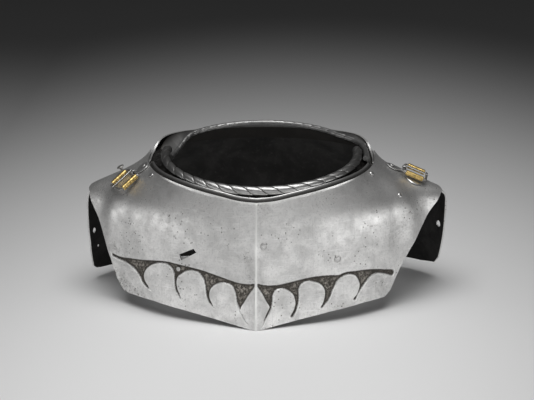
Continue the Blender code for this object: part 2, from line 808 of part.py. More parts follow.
def back_collar(material):
    """Back collar with its turned rim, outside the front collar on the right and inside it on the left."""
    angles = np.linspace(BACK_COLLAR_RIGHT, 360 - BACK_COLLAR_LEFT, 47)
    past_rim = ROPE_RADIUS + RIM_RADIUS + LAYER_GAP

    def section(angle):
        left = lap(angle, 230, 255)
        right = 1 - lap(angle, 105, 130)
        shift = (past_rim * (right - left * math.cos(LEFT_DIP)), -past_rim * left * math.sin(LEFT_DIP))
        layer = COLLAR_LAYER - COLLAR_STEP * left
        return collar_section(angle, shift, layer, lambda turn: RIM_RADIUS, 7)

    return sweep("back_collar", angles, section, material)


def neck_lame(material):
    """Thin lame between the front plate and the front collar."""
    angles = np.linspace(-LAME_END, LAME_END, 37)
    downs = np.array([-LAME_RISE, 0, COLLAR_HEM * 0.8])

    def section(angle):
        here = np.full(len(downs), float(angle))
        outer = body(here, downs, LAME_LAYER)
        inner = body(here, downs, LAME_LAYER - LAME_WALL)
        return np.concatenate([outer[::-1], inner])

    return sweep("neck_lame", angles, section, material)


def clear_scene():
    for obj in list(bpy.data.objects):
        bpy.data.objects.remove(obj, do_unlink=True)


def front_holes():
    """Flat rings of the front plate's holes."""
    holes = [np.concatenate([flat(*place)[None] for place in SLOT])]
    places = [(angle, down, radius * RIVET_SHANK) for _, angle, down, radius in RIVETS]
    places += [(fitting[1], fitting[2], HASP_RIVET * RIVET_SHANK) for fitting in FITTINGS]
    places += [(*PIVOT, PIVOT_SHANK), (*STUD, STUD_STEM)]
    return holes + [drilled(angle, down, radius + FIT) for angle, down, radius in places]


def front_plate(material):
    """Front plate with its ridge, band, slot and holes."""
    outline = front_outline()
    reliefs = [(band_ring(side, 0.0), band_ring(side, BAND_WALL)) for side in (-1, 1)]
    bottom = hem_down(np.array(0.0))
    ridge = flat(np.zeros(13), np.linspace(0, 1, 13) * bottom)
    holes = front_holes()
    return plate("front_plate", outline, holes, reliefs, FRONT_SPACING, on_body, PLATE_WALL, material, [ridge], LIP)


def on_body(angle, down):
    return 0.0 * angle


def tucked(angle, down):
    """The back plate's layer, which dips a little where it runs under the front plate."""
    turn = np.abs((angle + 180) % 360 - 180)
    near = np.clip((TUCK_END - turn) / TUCK_EASE, 0, 1)
    low = np.clip((down - TUCK_START) / TUCK_START, 0, 1)
    return BACK_LAYER - BACK_TUCK * near * low


def back_plate(material):
    """Back plate, which lies under the front plate at both shoulders."""
    left = edge_ring(BACK_EDGE, -1, 18)[:-1][::-1] + flat(360, 0)
    around = np.concatenate([edge_ring(BACK_EDGE, 1, 18), left])
    start = flat([BACK_START_RIGHT] * 2, [3 * MM, BACK_SHOULDER_DOWN])
    end = flat([360 - BACK_START_LEFT] * 2, [BACK_SHOULDER_DOWN, 3 * MM])
    neck = np.linspace(360 - BACK_START_LEFT - 2, BACK_START_RIGHT + 2, 33)
    outline = np.concatenate([start, around, end, flat(neck, 0 * neck)])
    places = list(STRIP_HOLES) + [(*PIVOT, PIVOT_SHANK + FIT), (*STUD, STUD_STEM + FIT)]
    holes = [drilled(angle % 360, down, radius) for angle, down, radius in places]
    return plate("back_plate", outline, holes, [], BACK_SPACING, tucked, PLATE_WALL, material)


def shoulder_pivot(material):
    """The wide low rivet that joins the plates on the right shoulder."""
    angle, down = PIVOT
    sections = [
        (PIVOT_SHANK, GAP + PIVOT_RISE * 1.5),
        (PIVOT_SHANK * 1.3, GAP + PIVOT_RISE),
        (PIVOT_DISC * 0.9, GAP + PIVOT_RISE * 0.9),
        (PIVOT_DISC, GAP + PIVOT_RISE * 0.5),
        (PIVOT_DISC * 0.97, GAP),
        (PIVOT_SHANK, GAP),
        (PIVOT_SHANK, BACK_LAYER - PLATE_WALL),
    ]
    return turned("shoulder_pivot", angle, down, sections, material, 20)


def closing_stud(material):
    """The mushroom headed stud of the back plate, which stands out through the front plate."""
    angle, down = STUD
    sections = [
        (STUD_HEAD * 0.4, STUD_HEIGHT),
        (STUD_HEAD * 0.8, STUD_HEIGHT * 0.95),
        (STUD_HEAD, STUD_HEIGHT * 0.84),
        (STUD_HEAD * 0.9, STUD_HEIGHT * 0.78),
        (STUD_STEM, STUD_HEIGHT * 0.7),
        (STUD_STEM, BACK_LAYER - PLATE_WALL),
    ]
    return turned("closing_stud", angle, down, sections, material)


def settle(objects):
    """Stand everything on the floor, with the middle of the whole over the origin."""
    bpy.context.view_layer.update()
    corners = np.array([obj.matrix_world @ v.co for obj in objects for v in obj.data.vertices])
    low, high = corners.min(axis=0), corners.max(axis=0)
    middle = Vector(((low[0] + high[0]) / 2, (low[1] + high[1]) / 2, low[2]))
    for obj in bpy.data.objects:
        if obj.location.length > 0:
            obj.location -= middle
        else:
            obj.data.transform(Matrix.Translation(-middle))
    return middle


def build():
    clear_scene()
    steel = new_material("steel", (0.56, 0.56, 0.55), 0.38)
    dark = new_material("dark_steel", (0.30, 0.29, 0.28), 0.45)
    brass = new_material("brass", (0.72, 0.55, 0.25), 0.35)
    objects = [front_plate(steel), neck_lame(steel), front_collar(steel)]
    objects += [back_plate(steel), back_collar(steel), closing_stud(steel), shoulder_pivot(steel)]
    objects += [rivet(*row, steel) for row in RIVETS]
    for fitting in FITTINGS:
        side, angle, rivet_down = fitting[:3]
        middle = eye_frame(fitting)[0]
        objects.append(hasp(fitting, dark))
        objects.append(rivet("hasp_rivet_" + side, angle, rivet_down, HASP_RIVET, steel, STRAP_WALL + GAP,
                             through=STRAP_WALL + GAP + PLATE_WALL))
        objects.append(move_origin(buckle_frame(fitting, dark), middle))
        objects.append(move_origin(prong(fitting, steel), middle))
        objects.append(roller(fitting, "roller_%s_front" % side, -1, brass))
        objects.append(roller(fitting, "roller_%s_back" % side, 1, brass))
    return settle(objects)


if __name__ == "__main__":
    build()
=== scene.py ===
"""Looks of a steel gorget, laid out as an add-on: one operator for each piece and one for the stage.

Units are metres, +Z is up and -Y is the front. A place on the plates is an angle round the neck,
0 at the front and positive to the right, a distance down from the neck edge, and a distance out
of the body surface.
"""
import math

import bmesh
import bpy
import numpy as np
from bpy.props import FloatProperty, FloatVectorProperty, PointerProperty
from mathutils import Matrix, Vector
from mathutils.geometry import delaunay_2d_cdt


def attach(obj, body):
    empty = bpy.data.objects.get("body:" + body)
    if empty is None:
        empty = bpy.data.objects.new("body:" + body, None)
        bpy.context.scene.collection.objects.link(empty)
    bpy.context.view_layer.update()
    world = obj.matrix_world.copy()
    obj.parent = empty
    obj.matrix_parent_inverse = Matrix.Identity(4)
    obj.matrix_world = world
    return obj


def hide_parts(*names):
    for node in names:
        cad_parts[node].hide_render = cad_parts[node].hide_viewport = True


bl_info = {
    "name": "Steel gorget",
    "version": (1, 0, 0),
    "blender": (4, 5, 0),
    "location": "3D View > Sidebar > Gorget",
    "description": "Builds the looks of a steel gorget round its fixed frame",
    "category": "Object",
}

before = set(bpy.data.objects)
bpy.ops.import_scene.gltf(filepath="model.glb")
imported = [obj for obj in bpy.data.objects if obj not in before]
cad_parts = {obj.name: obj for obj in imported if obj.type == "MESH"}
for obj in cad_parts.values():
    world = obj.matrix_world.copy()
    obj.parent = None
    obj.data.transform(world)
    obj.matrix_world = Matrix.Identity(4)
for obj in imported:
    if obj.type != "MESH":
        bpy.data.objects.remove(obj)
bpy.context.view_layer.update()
MM = 0.001
BODY = "gorget"

# Body surface
NECK_HALF_WIDTH = 97.2 * MM
NECK_DEPTH = 82 * MM
NECK_FRONT_HEIGHT = 101.5 * MM
NECK_RISE = 15.5 * MM
SHOULDER_RUN = 66 * MM
RIGHT_SHOULDER_EXTRA = 8.5 * MM
RIGHT_SHOULDER_RISE = 1.7
ROLL_SOFTNESS = 17 * MM
SIDE_SOFTNESS = 9 * MM
SIDE_ANGLE = 91
SIDE_WIDTH = 14
FLARE_RUN = 14 * MM
PROFILE_STEPS = 64
MIDDLE = np.array([2.87, -0.549, 0.0]) * MM

# Angles where the right shoulder's extra length sets in and where it ends, each with its softness
EXTRA_FROM = (86, 5)
EXTRA_UNTIL = (125, 10)

# Angles where the shoulders' changes begin
RISE_START = 55
SOFTNESS_START = 78

# Search for the distance down to a height, and flat points for each degree
DOWN_LIMIT = 250 * MM
DOWN_HALVINGS = 34
FLAT_SCALE = 2

# Sections round the body: angle from the front, neck edge height as a share of its rise,
# slope at the neck edge, slope of the top, where it rolls over as a share of the shoulder
# run, and slope below the roll
SECTIONS = (
    (0, 0.00, 71, 73, 0.30, 76),
    (10, 0.08, 71, 72, 0.30, 80),
    (22, 0.29, 70, 68, 0.30, 83),
    (45, 0.61, 62, 55, 0.40, 86),
    (69, 0.88, 46, 36, 0.52, 90),
    (76, 0.97, 42, 30, 0.63, 89),
    (83, 1.06, 44, 25, 0.72, 88),
    (90, 1.15, 49, 20, 0.96, 86),
    (97, 1.34, 60, 20, 0.97, 86),
    (105, 1.66, 78, 24, 0.94, 86),
    (115, 1.78, 82, 29, 0.83, 85),
    (135, 1.72, 78, 40, 0.57, 82),
    (180, 1.66, 75, 62, 0.42, 80),
)
HEIGHT, FLARE, TOP, ROLL, LOW = range(1, 6)

# Walls and layers
PLATE_WALL = 1.5 * MM
COLLAR_WALL = 1.2 * MM
LAME_WALL = 1.0 * MM
GAP = 0.35 * MM
LAYER_GAP = 0.85 * MM
BACK_LAYER = -(PLATE_WALL + LAYER_GAP)
LAME_LAYER = -(PLATE_WALL + GAP)
COLLAR_STEP = COLLAR_WALL + 2 * LAYER_GAP
COLLAR_LAYER = BACK_LAYER - PLATE_WALL - LAYER_GAP - COLLAR_WALL / 2
BACK_TUCK = 1.6 * MM
TUCK_START = 12 * MM
TUCK_END = 103
TUCK_EASE = 5

SHOULDER_HEIGHT = 87 * MM
FRONT_END_ANGLE = 97

# Lower edge of the front plate: angle, and height on the right and on the left as shares of
# the shoulder height
FRONT_EDGE = (
    (0, 0.0, 0.0),
    (1.5, 0.0, 0.0),
    (17, 0.049, 0.049),
    (35, 0.103, 0.103),
    (52, 0.136, 0.136),
    (63.5, 0.138, 0.133),
    (66.5, 0.190, 0.130),
    (70, 0.330, 0.142),
    (72.5, 0.455, 0.240),
    (75, 0.565, 0.430),
    (78, 0.660, 0.590),
    (81.5, 0.765, 0.725),
    (84.5, 0.890, 0.855),
    (88, 1.020, 1.020),
    (91.5, 1.080, 1.075),
)
BACK_START_RIGHT = 85
BACK_START_LEFT = 86.5
BACK_SHOULDER_DOWN = 55 * MM

# Lower edge of the back plate, in the same way
BACK_EDGE = (
    (91, 1.070, 1.060),
    (93, 1.045, 0.970),
    (94.5, 0.975, 0.740),
    (96, 0.890, 0.540),
    (98, 0.710, 0.325),
    (100.3, 0.515, 0.142),
    (102, 0.380, 0.106),
    (104, 0.225, 0.094),
    (106, 0.153, 0.088),
    (112, 0.126, 0.076),
    (120, 0.120, 0.060),
    (135, 0.040, 0.030),
    (150, 0.0, 0.0),
    (180, 0.0, 0.0),
)

# Collars
COLLAR_HALF_WIDTH = 82 * MM
COLLAR_DEPTH = 75 * MM
COLLAR_FRONT_HEIGHT = 109.6 * MM
COLLAR_SIDE_HEIGHT = 121 * MM
COLLAR_BACK_HEIGHT = 130.5 * MM
COLLAR_HEM = 10 * MM
RIM_RADIUS = 2.2 * MM
LAME_RISE = 4 * MM
LAME_END = 80
FRONT_COLLAR_LEFT = 97
FRONT_COLLAR_RIGHT = 97
BACK_COLLAR_RIGHT = 85
BACK_COLLAR_LEFT = 96
LEFT_DIP = math.radians(62)
COLLAR_MEAN = (COLLAR_HALF_WIDTH + COLLAR_DEPTH) / 2
BACK_NOTCH_PITCH = 9 * MM

# Angles between which the front collar steps in, its rim dulls and takes painted shade, and the back collar
# changes sides
FRONT_STEP = (50, 80)
DULLED_SHADED_RIM = (45, 80)
RIGHT_LAP = (105, 130)
LEFT_LAP = (230, 255)

# Holes and rivets: angle, distance down, radius of the head
SLOT = ((-39.4, 56.4), (-32.4, 48.2), (-31.0, 50.8), (-38.4, 61.0))
RIVETS = {
    "plug_rivet_centre": (4.0, 36, 3.1),
    "plug_rivet_right": (40.5, 60, 3.0),
    "side_rivet_right": (75.0, 34, 2.0),
    "band_rivet_left": (-39.5, 69, 1.8),
    "neck_rivet_left": (-68.5, 4.5, 2.2),
    "neck_rivet_right": (72.5, 4.5, 2.2),
}
RIVET_SHANK = 0.55
STRIP_HOLES = ((-99.5, 108, 2.5), (-102.25, 123.6, 1.2), (102.75, 108, 3.0))
PIVOT = (88.5, 38)
PIVOT_DISC = 8.6 * MM
PIVOT_SHANK = 2.4 * MM
STUD = (-89.3, 26)
STUD_HEAD = 3.2 * MM
STUD_STEM = 1.5 * MM
STUD_HEIGHT = 6.5 * MM

# Hasps and buckles
FIT = 0.3 * MM
STRAP_WALL = 1.0 * MM
HASP_WIDTH = 11 * MM
HASP_LENGTH = 13 * MM
HASP_EYE = 4 * MM
HASP_RIVET = 2.2 * MM
BAR_RADIUS = 1.1 * MM
BUCKLE_WIDTH = 22 * MM
BUCKLE_LENGTH = 20 * MM
BUCKLE_CORNER = 2 * MM
ROLLER_RADIUS = 2.3 * MM
PRONG_WIDTH = 2.0 * MM
PRONG_WALL = 0.8 * MM
EYE_SHIFT = -1.2 * MM
CURL = 262
FITTINGS = (
    ("left", -79.6, 4.5 * MM, 15 * MM, 0.0, 18.0),
    ("right", 92.0, 17 * MM, 28 * MM, 1.3 * MM, 6.0),
)

# Section of a strap, as shares of its half width and half wall
STRIP_RING = (
    (1, 0.45), (1, 1), (0, 1.02), (-1, 1), (-1, 0.45), (-1, -0.45), (-1, -1), (1, -1), (1, -0.45),
)

# Sunken ground of the band on each side, as angle and millimetres down, round from the ridge
BAND_LEFT = (
    (-0.6, 66.0), (-3.6, 66.9), (-7.8, 67.0), (-14.2, 66.0), (-21.4, 65.0), (-27.2, 64.1), (-34.2, 64.3),
    (-39.1, 64.9), (-45.6, 66.0), (-52.1, 69.5), (-59.1, 74.4), (-66.4, 80.0), (-71.5, 84.9), (-74.6, 86.6),
    (-74.4, 89.2), (-71.5, 87.9), (-68.2, 86.0), (-64.8, 86.0), (-62.0, 87.5), (-59.8, 91.0), (-58.5, 94.2),
    (-56.4, 96.1), (-53.6, 96.9), (-55.5, 94.0), (-57.2, 90.7), (-57.6, 86.7), (-56.6, 81.6), (-54.2, 76.1),
    (-51.2, 71.8), (-48.4, 69.4), (-45.5, 68.5), (-43.2, 70.0), (-41.9, 73.3), (-41.5, 78.9), (-41.0, 85.9),
    (-39.4, 90.9), (-36.6, 95.9), (-38.4, 90.3), (-39.8, 85.2), (-40.2, 80.1), (-39.5, 75.5), (-37.8, 72.3),
    (-35.5, 68.9), (-32.4, 66.7), (-29.5, 67.2), (-27.4, 70.0), (-26.2, 74.1), (-25.4, 80.2), (-24.7, 85.7),
    (-23.2, 90.3), (-19.9, 93.4), (-22.1, 89.2), (-23.2, 85.1), (-23.2, 80.4), (-22.1, 76.4), (-19.8, 72.6),
    (-16.6, 70.1), (-13.2, 70.0), (-11.2, 72.0), (-10.0, 76.8), (-9.2, 83.4), (-7.6, 89.8), (-5.9, 95.1),
    (-3.8, 99.8), (-5.9, 93.4), (-7.2, 89.2), (-5.4, 82.4), (-2.9, 75.1), (-0.6, 69.0),
)
BAND_RIGHT = (
    (0.6, 65.9), (2.9, 67.2), (6.6, 68.4), (11.0, 68.9), (15.3, 68.9), (20.2, 68.9), (26.2, 68.9),
    (32.0, 69.9),
    (37.2, 71.7), (40.4, 73.3), (43.0, 73.0), (45.4, 73.3), (48.4, 74.7), (53.4, 76.9), (59.5, 81.2),
    (64.9, 86.6), (67.8, 90.0), (68.4, 92.8), (67.5, 95.4), (66.5, 94.0), (64.2, 90.5), (60.0, 85.6),
    (57.4, 84.6), (55.0, 86.1), (52.8, 89.5), (50.0, 94.5), (48.1, 99.7), (46.9, 99.0), (47.1, 97.7),
    (48.8, 95.3), (49.9, 91.8), (50.4, 87.9), (49.9, 84.1), (48.8, 79.9), (46.4, 76.6), (43.5, 75.9),
    (40.5, 77.6), (38.8, 80.7), (37.4, 85.1), (35.4, 91.7), (32.9, 95.9), (32.0, 97.7), (30.8, 96.7),
    (31.3, 95.8), (32.6, 92.1), (33.4, 87.3), (33.4, 83.1), (32.5, 79.3), (30.8, 76.0), (28.4, 73.7),
    (26.1, 72.1), (23.6, 72.2), (21.6, 74.2), (20.9, 77.7), (20.9, 81.9), (20.5, 87.6), (19.5, 93.0),
    (17.8, 98.1), (16.9, 99.2), (15.8, 97.6), (16.5, 96.3), (18.0, 92.4), (18.8, 87.7), (18.5, 83.4),
    (17.6, 79.6), (15.7, 75.9), (13.2, 73.3), (10.8, 72.7), (8.8, 74.3), (8.0, 77.4), (7.8, 81.9),
    (7.1, 87.5),
    (5.5, 92.9), (3.8, 98.4), (2.4, 102.8), (2.9, 99.9), (4.1, 94.3), (5.7, 88.5), (6.2, 86.5), (4.6, 81.3),
    (2.9, 75.3), (1.2, 70.6), (0.6, 68.8),
)

# Part of the front plate with a fine mesh, in flat points: half width, top and bottom
FINE_SIDE = 152
FINE_TOP = 61
FINE_BOTTOM = 112

# Rusty and pitted patches: angle, millimetres down, spread in millimetres, strength
WORN = (
    (-70, 112, 10, 0.9), (-74, 104, 6, 0.8), (-62, 110, 9, 0.6), (-73, 80, 5, 0.5), (-5, 45, 6, 0.55),
    (-3, 62, 5, 0.4), (3, 10, 9, 0.35), (-15, 106, 8, 0.3), (28, 104, 8, 0.5), (40, 104, 7, 0.4),
    (62, 96, 10, 0.35), (-85, 50, 9, 0.5), (-80, 45, 8, 0.4), (70, 60, 12, 0.25), (-88, 64, 8, 0.5),
    (18, 106, 6, 0.4), (-50, 30, 16, 0.2), (82, 55, 12, 0.3), (35, 12, 10, 0.3), (-30, 14, 12, 0.3),
)

# Pool of light on the floor: its shift and stretch, how far it darkens to the sides, and where
# it begins and ends
POOL_SHIFT = (0, 0.3, 0)
POOL_STRETCH = (2.2, 1, 1)
POOL_SIDE = 0.7
POOL_NEAR = 0.13
POOL_FAR = 1.55


def hermite(a, leaving, b, arriving, t):
    """A place between two points, on a curve with these slopes at its ends."""
    return (
        a * (2 * t**3 - 3 * t**2 + 1) + leaving * (t**3 - 2 * t**2 + t)
        + b * (3 * t**2 - 2 * t**3) + arriving * (t**3 - t**2)
    )


def smooth_column(column, angle):
    """The sections' column at these angles, on a smooth curve through its rows."""
    rows = np.array(SECTIONS, float)
    at, value = rows[:, 0], rows[:, column]
    inner = (value[2:] - value[:-2]) / (at[2:] - at[:-2])
    slope = np.concatenate([[(value[1] - value[0]) / (at[1] - at[0])], inner, [0.0]])
    angle = np.abs((np.asarray(angle, float) + 180) % 360 - 180)
    row = np.clip(np.searchsorted(at, angle) - 1, 0, len(at) - 2)
    step = at[row + 1] - at[row]
    t = (angle - at[row]) / step
    return hermite(value[row], slope[row] * step, value[row + 1], slope[row + 1] * step, t)


def neck_edge(angle):
    """Radius and height of the neck edge at these angles."""
    turn = np.radians(angle)
    radius = 1 / np.sqrt((np.sin(turn) / NECK_HALF_WIDTH) ** 2 + (np.cos(turn) / NECK_DEPTH) ** 2)
    return radius, NECK_FRONT_HEIGHT + NECK_RISE * smooth_column(HEIGHT, angle)


def shoulder_run(angle):
    """Length of the shoulder's top, a little more on the right."""
    right = 0.5 + 0.5 * np.tanh((np.asarray(angle, float) - EXTRA_FROM[0]) / EXTRA_FROM[1])
    behind = 0.5 + 0.5 * np.tanh((np.asarray(angle, float) - EXTRA_UNTIL[0]) / EXTRA_UNTIL[1])
    return SHOULDER_RUN + RIGHT_SHOULDER_EXTRA * right * (1 - behind)


def smooth(share):
    """A share from 0 to 1 with a soft start and end."""
    return share * share * (3 - 2 * share)


def beside(angle, start):
    """How near these angles are to a shoulder, from 0 at the start to 1 at the side."""
    turn = np.abs((np.asarray(angle, float) + 180) % 360 - 180)
    share = np.clip((turn - start) / (SIDE_ANGLE - start), 0, 1)
    share = share * (1 - np.clip((turn - SIDE_ANGLE - SIDE_WIDTH) / SIDE_WIDTH, 0, 1))
    return smooth(share)


def profile(angle, down):
    """Radius and height at a distance down from the neck edge, negative above it."""
    angle = np.asarray(angle, float)
    down = np.asarray(down, float)
    flare, top, roll, low = (smooth_column(c, angle)[..., None] for c in (FLARE, TOP, ROLL, LOW))
    run = down[..., None] * (np.arange(PROFILE_STEPS) + 0.5) / PROFILE_STEPS
    right = np.sin(np.radians(angle)) > 0
    top = top - (RIGHT_SHOULDER_RISE * beside(angle, RISE_START) * right)[..., None]
    softness = (ROLL_SOFTNESS - (ROLL_SOFTNESS - SIDE_SOFTNESS) * beside(angle, SOFTNESS_START))[..., None]
    rolled = 0.5 + 0.5 * np.tanh((run - roll * shoulder_run(angle)[..., None]) / softness)
    slope = np.radians(top + (flare - top) * np.exp(-run / FLARE_RUN) + (low - top) * rolled)
    radius, height = neck_edge(angle)
    return radius + np.cos(slope).mean(axis=-1) * down, height - np.sin(slope).mean(axis=-1) * down


def on_profile(angle, down):
    """Points on the body surface."""
    radius, height = profile(angle, down)
    turn = np.radians(angle)
    return np.stack([radius * np.sin(turn), -radius * np.cos(turn), height], axis=-1) - MIDDLE


def directions(angle, down):
    """Unit vectors at a place: down the plate, round it to the right, and out of it."""
    nudge = 0.05
    along = on_profile(angle, down + nudge * MM) - on_profile(angle, down - nudge * MM)
    across = on_profile(angle + nudge, down) - on_profile(angle - nudge, down)
    along = along / np.linalg.norm(along, axis=-1, keepdims=True)
    out = np.cross(along, across)
    out = out / np.linalg.norm(out, axis=-1, keepdims=True)
    return along, np.cross(out, along), out


def body(angle, down, out=0.0):
    """Points on the body surface, moved out along its normal."""
    angle = np.asarray(angle, float)
    down = np.asarray(down, float)
    return on_profile(angle, down) + directions(angle, down)[2] * np.asarray(out, float)[..., None]


def down_to(angle, height):
    """Distance down the body surface to this height."""
    low = np.zeros_like(np.asarray(angle, float))
    high = low + DOWN_LIMIT
    for _ in range(DOWN_HALVINGS):
        middle = (low + high) / 2
        above = profile(angle, middle)[1] > height
        low = np.where(above, middle, low)
        high = np.where(above, high, middle)
    return low


def new_object(name, points, faces, material, marks=None, body_name=BODY, sharp=30):
    """One named piece from points and faces, with marks for its material, riding on a body."""
    mesh = bpy.data.meshes.new(name)
    mesh.from_pydata([tuple(map(float, p)) for p in points], [], [tuple(map(int, f)) for f in faces])
    for mark, values in (marks or {}).items():
        layer = mesh.attributes.new(mark, "FLOAT", "POINT")
        layer.data.foreach_set("value", np.asarray(values, np.float32))
    shape = bmesh.new()
    shape.from_mesh(mesh)
    bmesh.ops.recalc_face_normals(shape, faces=shape.faces)
    shape.to_mesh(mesh)
    shape.free()
    mesh.materials.append(material)
    mesh.shade_smooth()
    mesh.set_sharp_from_angle(angle=math.radians(sharp))
    mesh.update()
    obj = bpy.data.objects.new(name, mesh)
    bpy.context.scene.collection.objects.link(obj)
    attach(obj, body_name)
    return obj


def flat(angle, down):
    """A place on the plate as a flat point, in millimetres."""
    return np.stack([np.asarray(angle, float) * FLAT_SCALE, np.asarray(down, float) / MM], axis=-1)


def inside(points, ring):
    """Which of the flat points lie inside a closed ring."""
    found = np.zeros(len(points), bool)
    for a, b in zip(ring, np.roll(ring, -1, axis=0)):
        crosses = (a[1] > points[:, 1]) != (b[1] > points[:, 1])
        rise = b[1] - a[1] if b[1] != a[1] else 1.0
        found ^= crosses & (points[:, 0] < a[0] + (points[:, 1] - a[1]) * (b[0] - a[0]) / rise)
    return found


def distance(points, line, closed=True):
    """Distance of the flat points from a line."""
    found = np.full(len(points), 1e9)
    ends = np.roll(line, -1, axis=0) if closed else line[1:]
    for a, b in zip(line, ends):
        along = b - a
        share = np.clip((points - a) @ along / max(along @ along, 1e-12), 0, 1)
        found = np.minimum(found, np.linalg.norm(points - a - share[:, None] * along, axis=1))
    return found


def nearest(points, line):
    """The nearest place on a closed line to each of the flat points."""
    found, best = points * 0.0, np.full(len(points), 1e9)
    for a, b in zip(line, np.roll(line, -1, axis=0)):
        along = b - a
        share = np.clip((points - a) @ along / max(along @ along, 1e-12), 0, 1)
        place = a + share[:, None] * along
        away = np.linalg.norm(points - place, axis=1)
        found[away < best] = place[away < best]
        best = np.minimum(best, away)
    return found


def divided(ring, step):
    """The same closed ring with no side longer than a step."""
    points = []
    for a, b in zip(ring, np.roll(ring, -1, axis=0)):
        parts = max(1, math.ceil(np.linalg.norm(b - a) / step))
        points += [a + (b - a) * i / parts for i in range(parts)]
    return np.array(points)


def rounded(ring, step, sharp=62):
    """A smooth closed curve through a ring's points, which keeps its sharp corners."""
    before, after = np.roll(ring, 1, axis=0), np.roll(ring, -1, axis=0)
    into, onward = ring - before, after - ring
    turn = np.degrees(np.arccos(np.clip(
        (into * onward).sum(1) / np.linalg.norm(into, axis=1) / np.linalg.norm(onward, axis=1), -1, 1)))
    corner = turn > sharp
    slope = (after - before) / 2
    points = []
    for i in range(len(ring)):
        j = (i + 1) % len(ring)
        a, b = ring[i], ring[j]
        chord = np.linalg.norm(b - a)
        start = b - a if corner[i] else slope[i] / max(np.linalg.norm(slope[i]), 1e-9) * chord
        end = b - a if corner[j] else slope[j] / max(np.linalg.norm(slope[j]), 1e-9) * chord
        count = max(1, math.ceil(chord / step))
        points += [hermite(a, start, b, end, t) for t in np.arange(count) / count]
    return np.array(points)


def grid_points(low, high, step):
    """Flat points in staggered rows over a box."""
    rows = max(2, round((high[1] - low[1]) / (step * 0.87)))
    columns = max(2, round((high[0] - low[0]) / step / 2)) * 2
    return np.array([
        (low[0] + (high[0] - low[0]) * (i + 0.5 * (j % 2)) / columns, low[1] + (high[1] - low[1]) * j / rows)
        for j in range(rows + 1)
        for i in range(columns + 1)
    ])


def plate(name, outline, holes, lines, grid, layer, shape, wall, materials, replaced):
    """A thin shell on the body surface: shape gives each flat point's height and marks."""
    rings = [outline, *holes]
    points, edges = [], []
    for ring in rings:
        first = len(points)
        points += list(ring)
        edges += [(first + i, first + (i + 1) % len(ring)) for i in range(len(ring))]
    for line, closed in lines:
        first = len(points)
        points += list(line)
        edges += [(first + i, first + i + 1) for i in range(len(line) - 1)]
        if closed:
            edges.append((first + len(line) - 1, first))
    spots, _, faces, _, _, _ = delaunay_2d_cdt([Vector(p) for p in points + list(grid)], edges, [], 1, 1e-6)
    spots = np.array([tuple(p) for p in spots])
    faces = np.array(faces, int)
    middle = spots[faces].mean(axis=1)
    keep = np.ones(len(faces), bool)
    for hole in holes:
        keep &= ~inside(middle, hole)
    faces = faces[keep]
    angle, down = spots[:, 0] / FLAT_SCALE, spots[:, 1] * MM
    lift, marks = shape(spots)
    base = layer(angle, down)
    outer = body(angle, down, base + lift)
    inner = body(angle, down, base + np.minimum(lift, 0) - wall)
    outer[:, 2] = np.maximum(outer[:, 2], 0)
    inner[:, 2] = np.maximum(inner[:, 2], 0)
    a, b, c = (outer[faces[:, i]] for i in range(3))
    out = directions(angle[faces[:, 0]], down[faces[:, 0]])[2]
    turned_over = (np.cross(b - a, c - a) * out).sum(axis=1) < 0
    faces[turned_over] = faces[turned_over][:, ::-1]
    sides = {(f[i], f[(i + 1) % 3]) for f in faces for i in range(3)}
    count = len(spots)
    every = [tuple(f) for f in faces] + [tuple(f[::-1] + count) for f in faces]
    every += [(j, i, i + count, j + count) for i, j in sides if (j, i) not in sides]
    both = np.concatenate([outer, inner])
    every_mark = {k: np.concatenate([v, v * 0]) for k, v in marks.items()}
    every_mark["hidden"] = np.concatenate([np.zeros(count), np.ones(count)])
    made = new_object(name, both, every, materials[0], every_mark)
    made.data.materials.append(materials[1])
    inner_side = np.zeros(len(every), np.int32)
    inner_side[len(faces):2 * len(faces)] = 1
    made.data.polygons.foreach_set("material_index", inner_side)
    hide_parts(replaced)
    return made


def edge_ring(rows, side, count):
    """Flat points along a lower edge on one side, from the table's first angle to its last."""
    table = np.array(rows, float)
    angle = np.unique(np.concatenate([np.linspace(table[0, 0], table[-1, 0], count), table[:, 0]]))
    height = np.interp(angle, table[:, 0], table[:, 1 if side > 0 else 2]) * SHOULDER_HEIGHT
    return flat(side * angle, down_to(side * angle, height))


def drilled(angle, down, radius, sides=24):
    """Flat ring of a round hole in a plate."""
    turn = 2 * np.pi * np.arange(sides) / sides
    here, further = on_profile(np.array([angle, angle + 1.0]), np.array([down, down]))
    width = np.linalg.norm(further - here)
    return flat(angle + radius / width * np.cos(turn), down + radius * np.sin(turn))


def front_outline():
    """Flat ring round the front plate."""
    neck = np.linspace(-FRONT_END_ANGLE, FRONT_END_ANGLE, 190)
    right = edge_ring(FRONT_EDGE, 1, 110)[::-1]
    left = edge_ring(FRONT_EDGE, -1, 110)[1:]
    return divided(np.concatenate([flat(neck, 0 * neck), right, left]), 2.2)


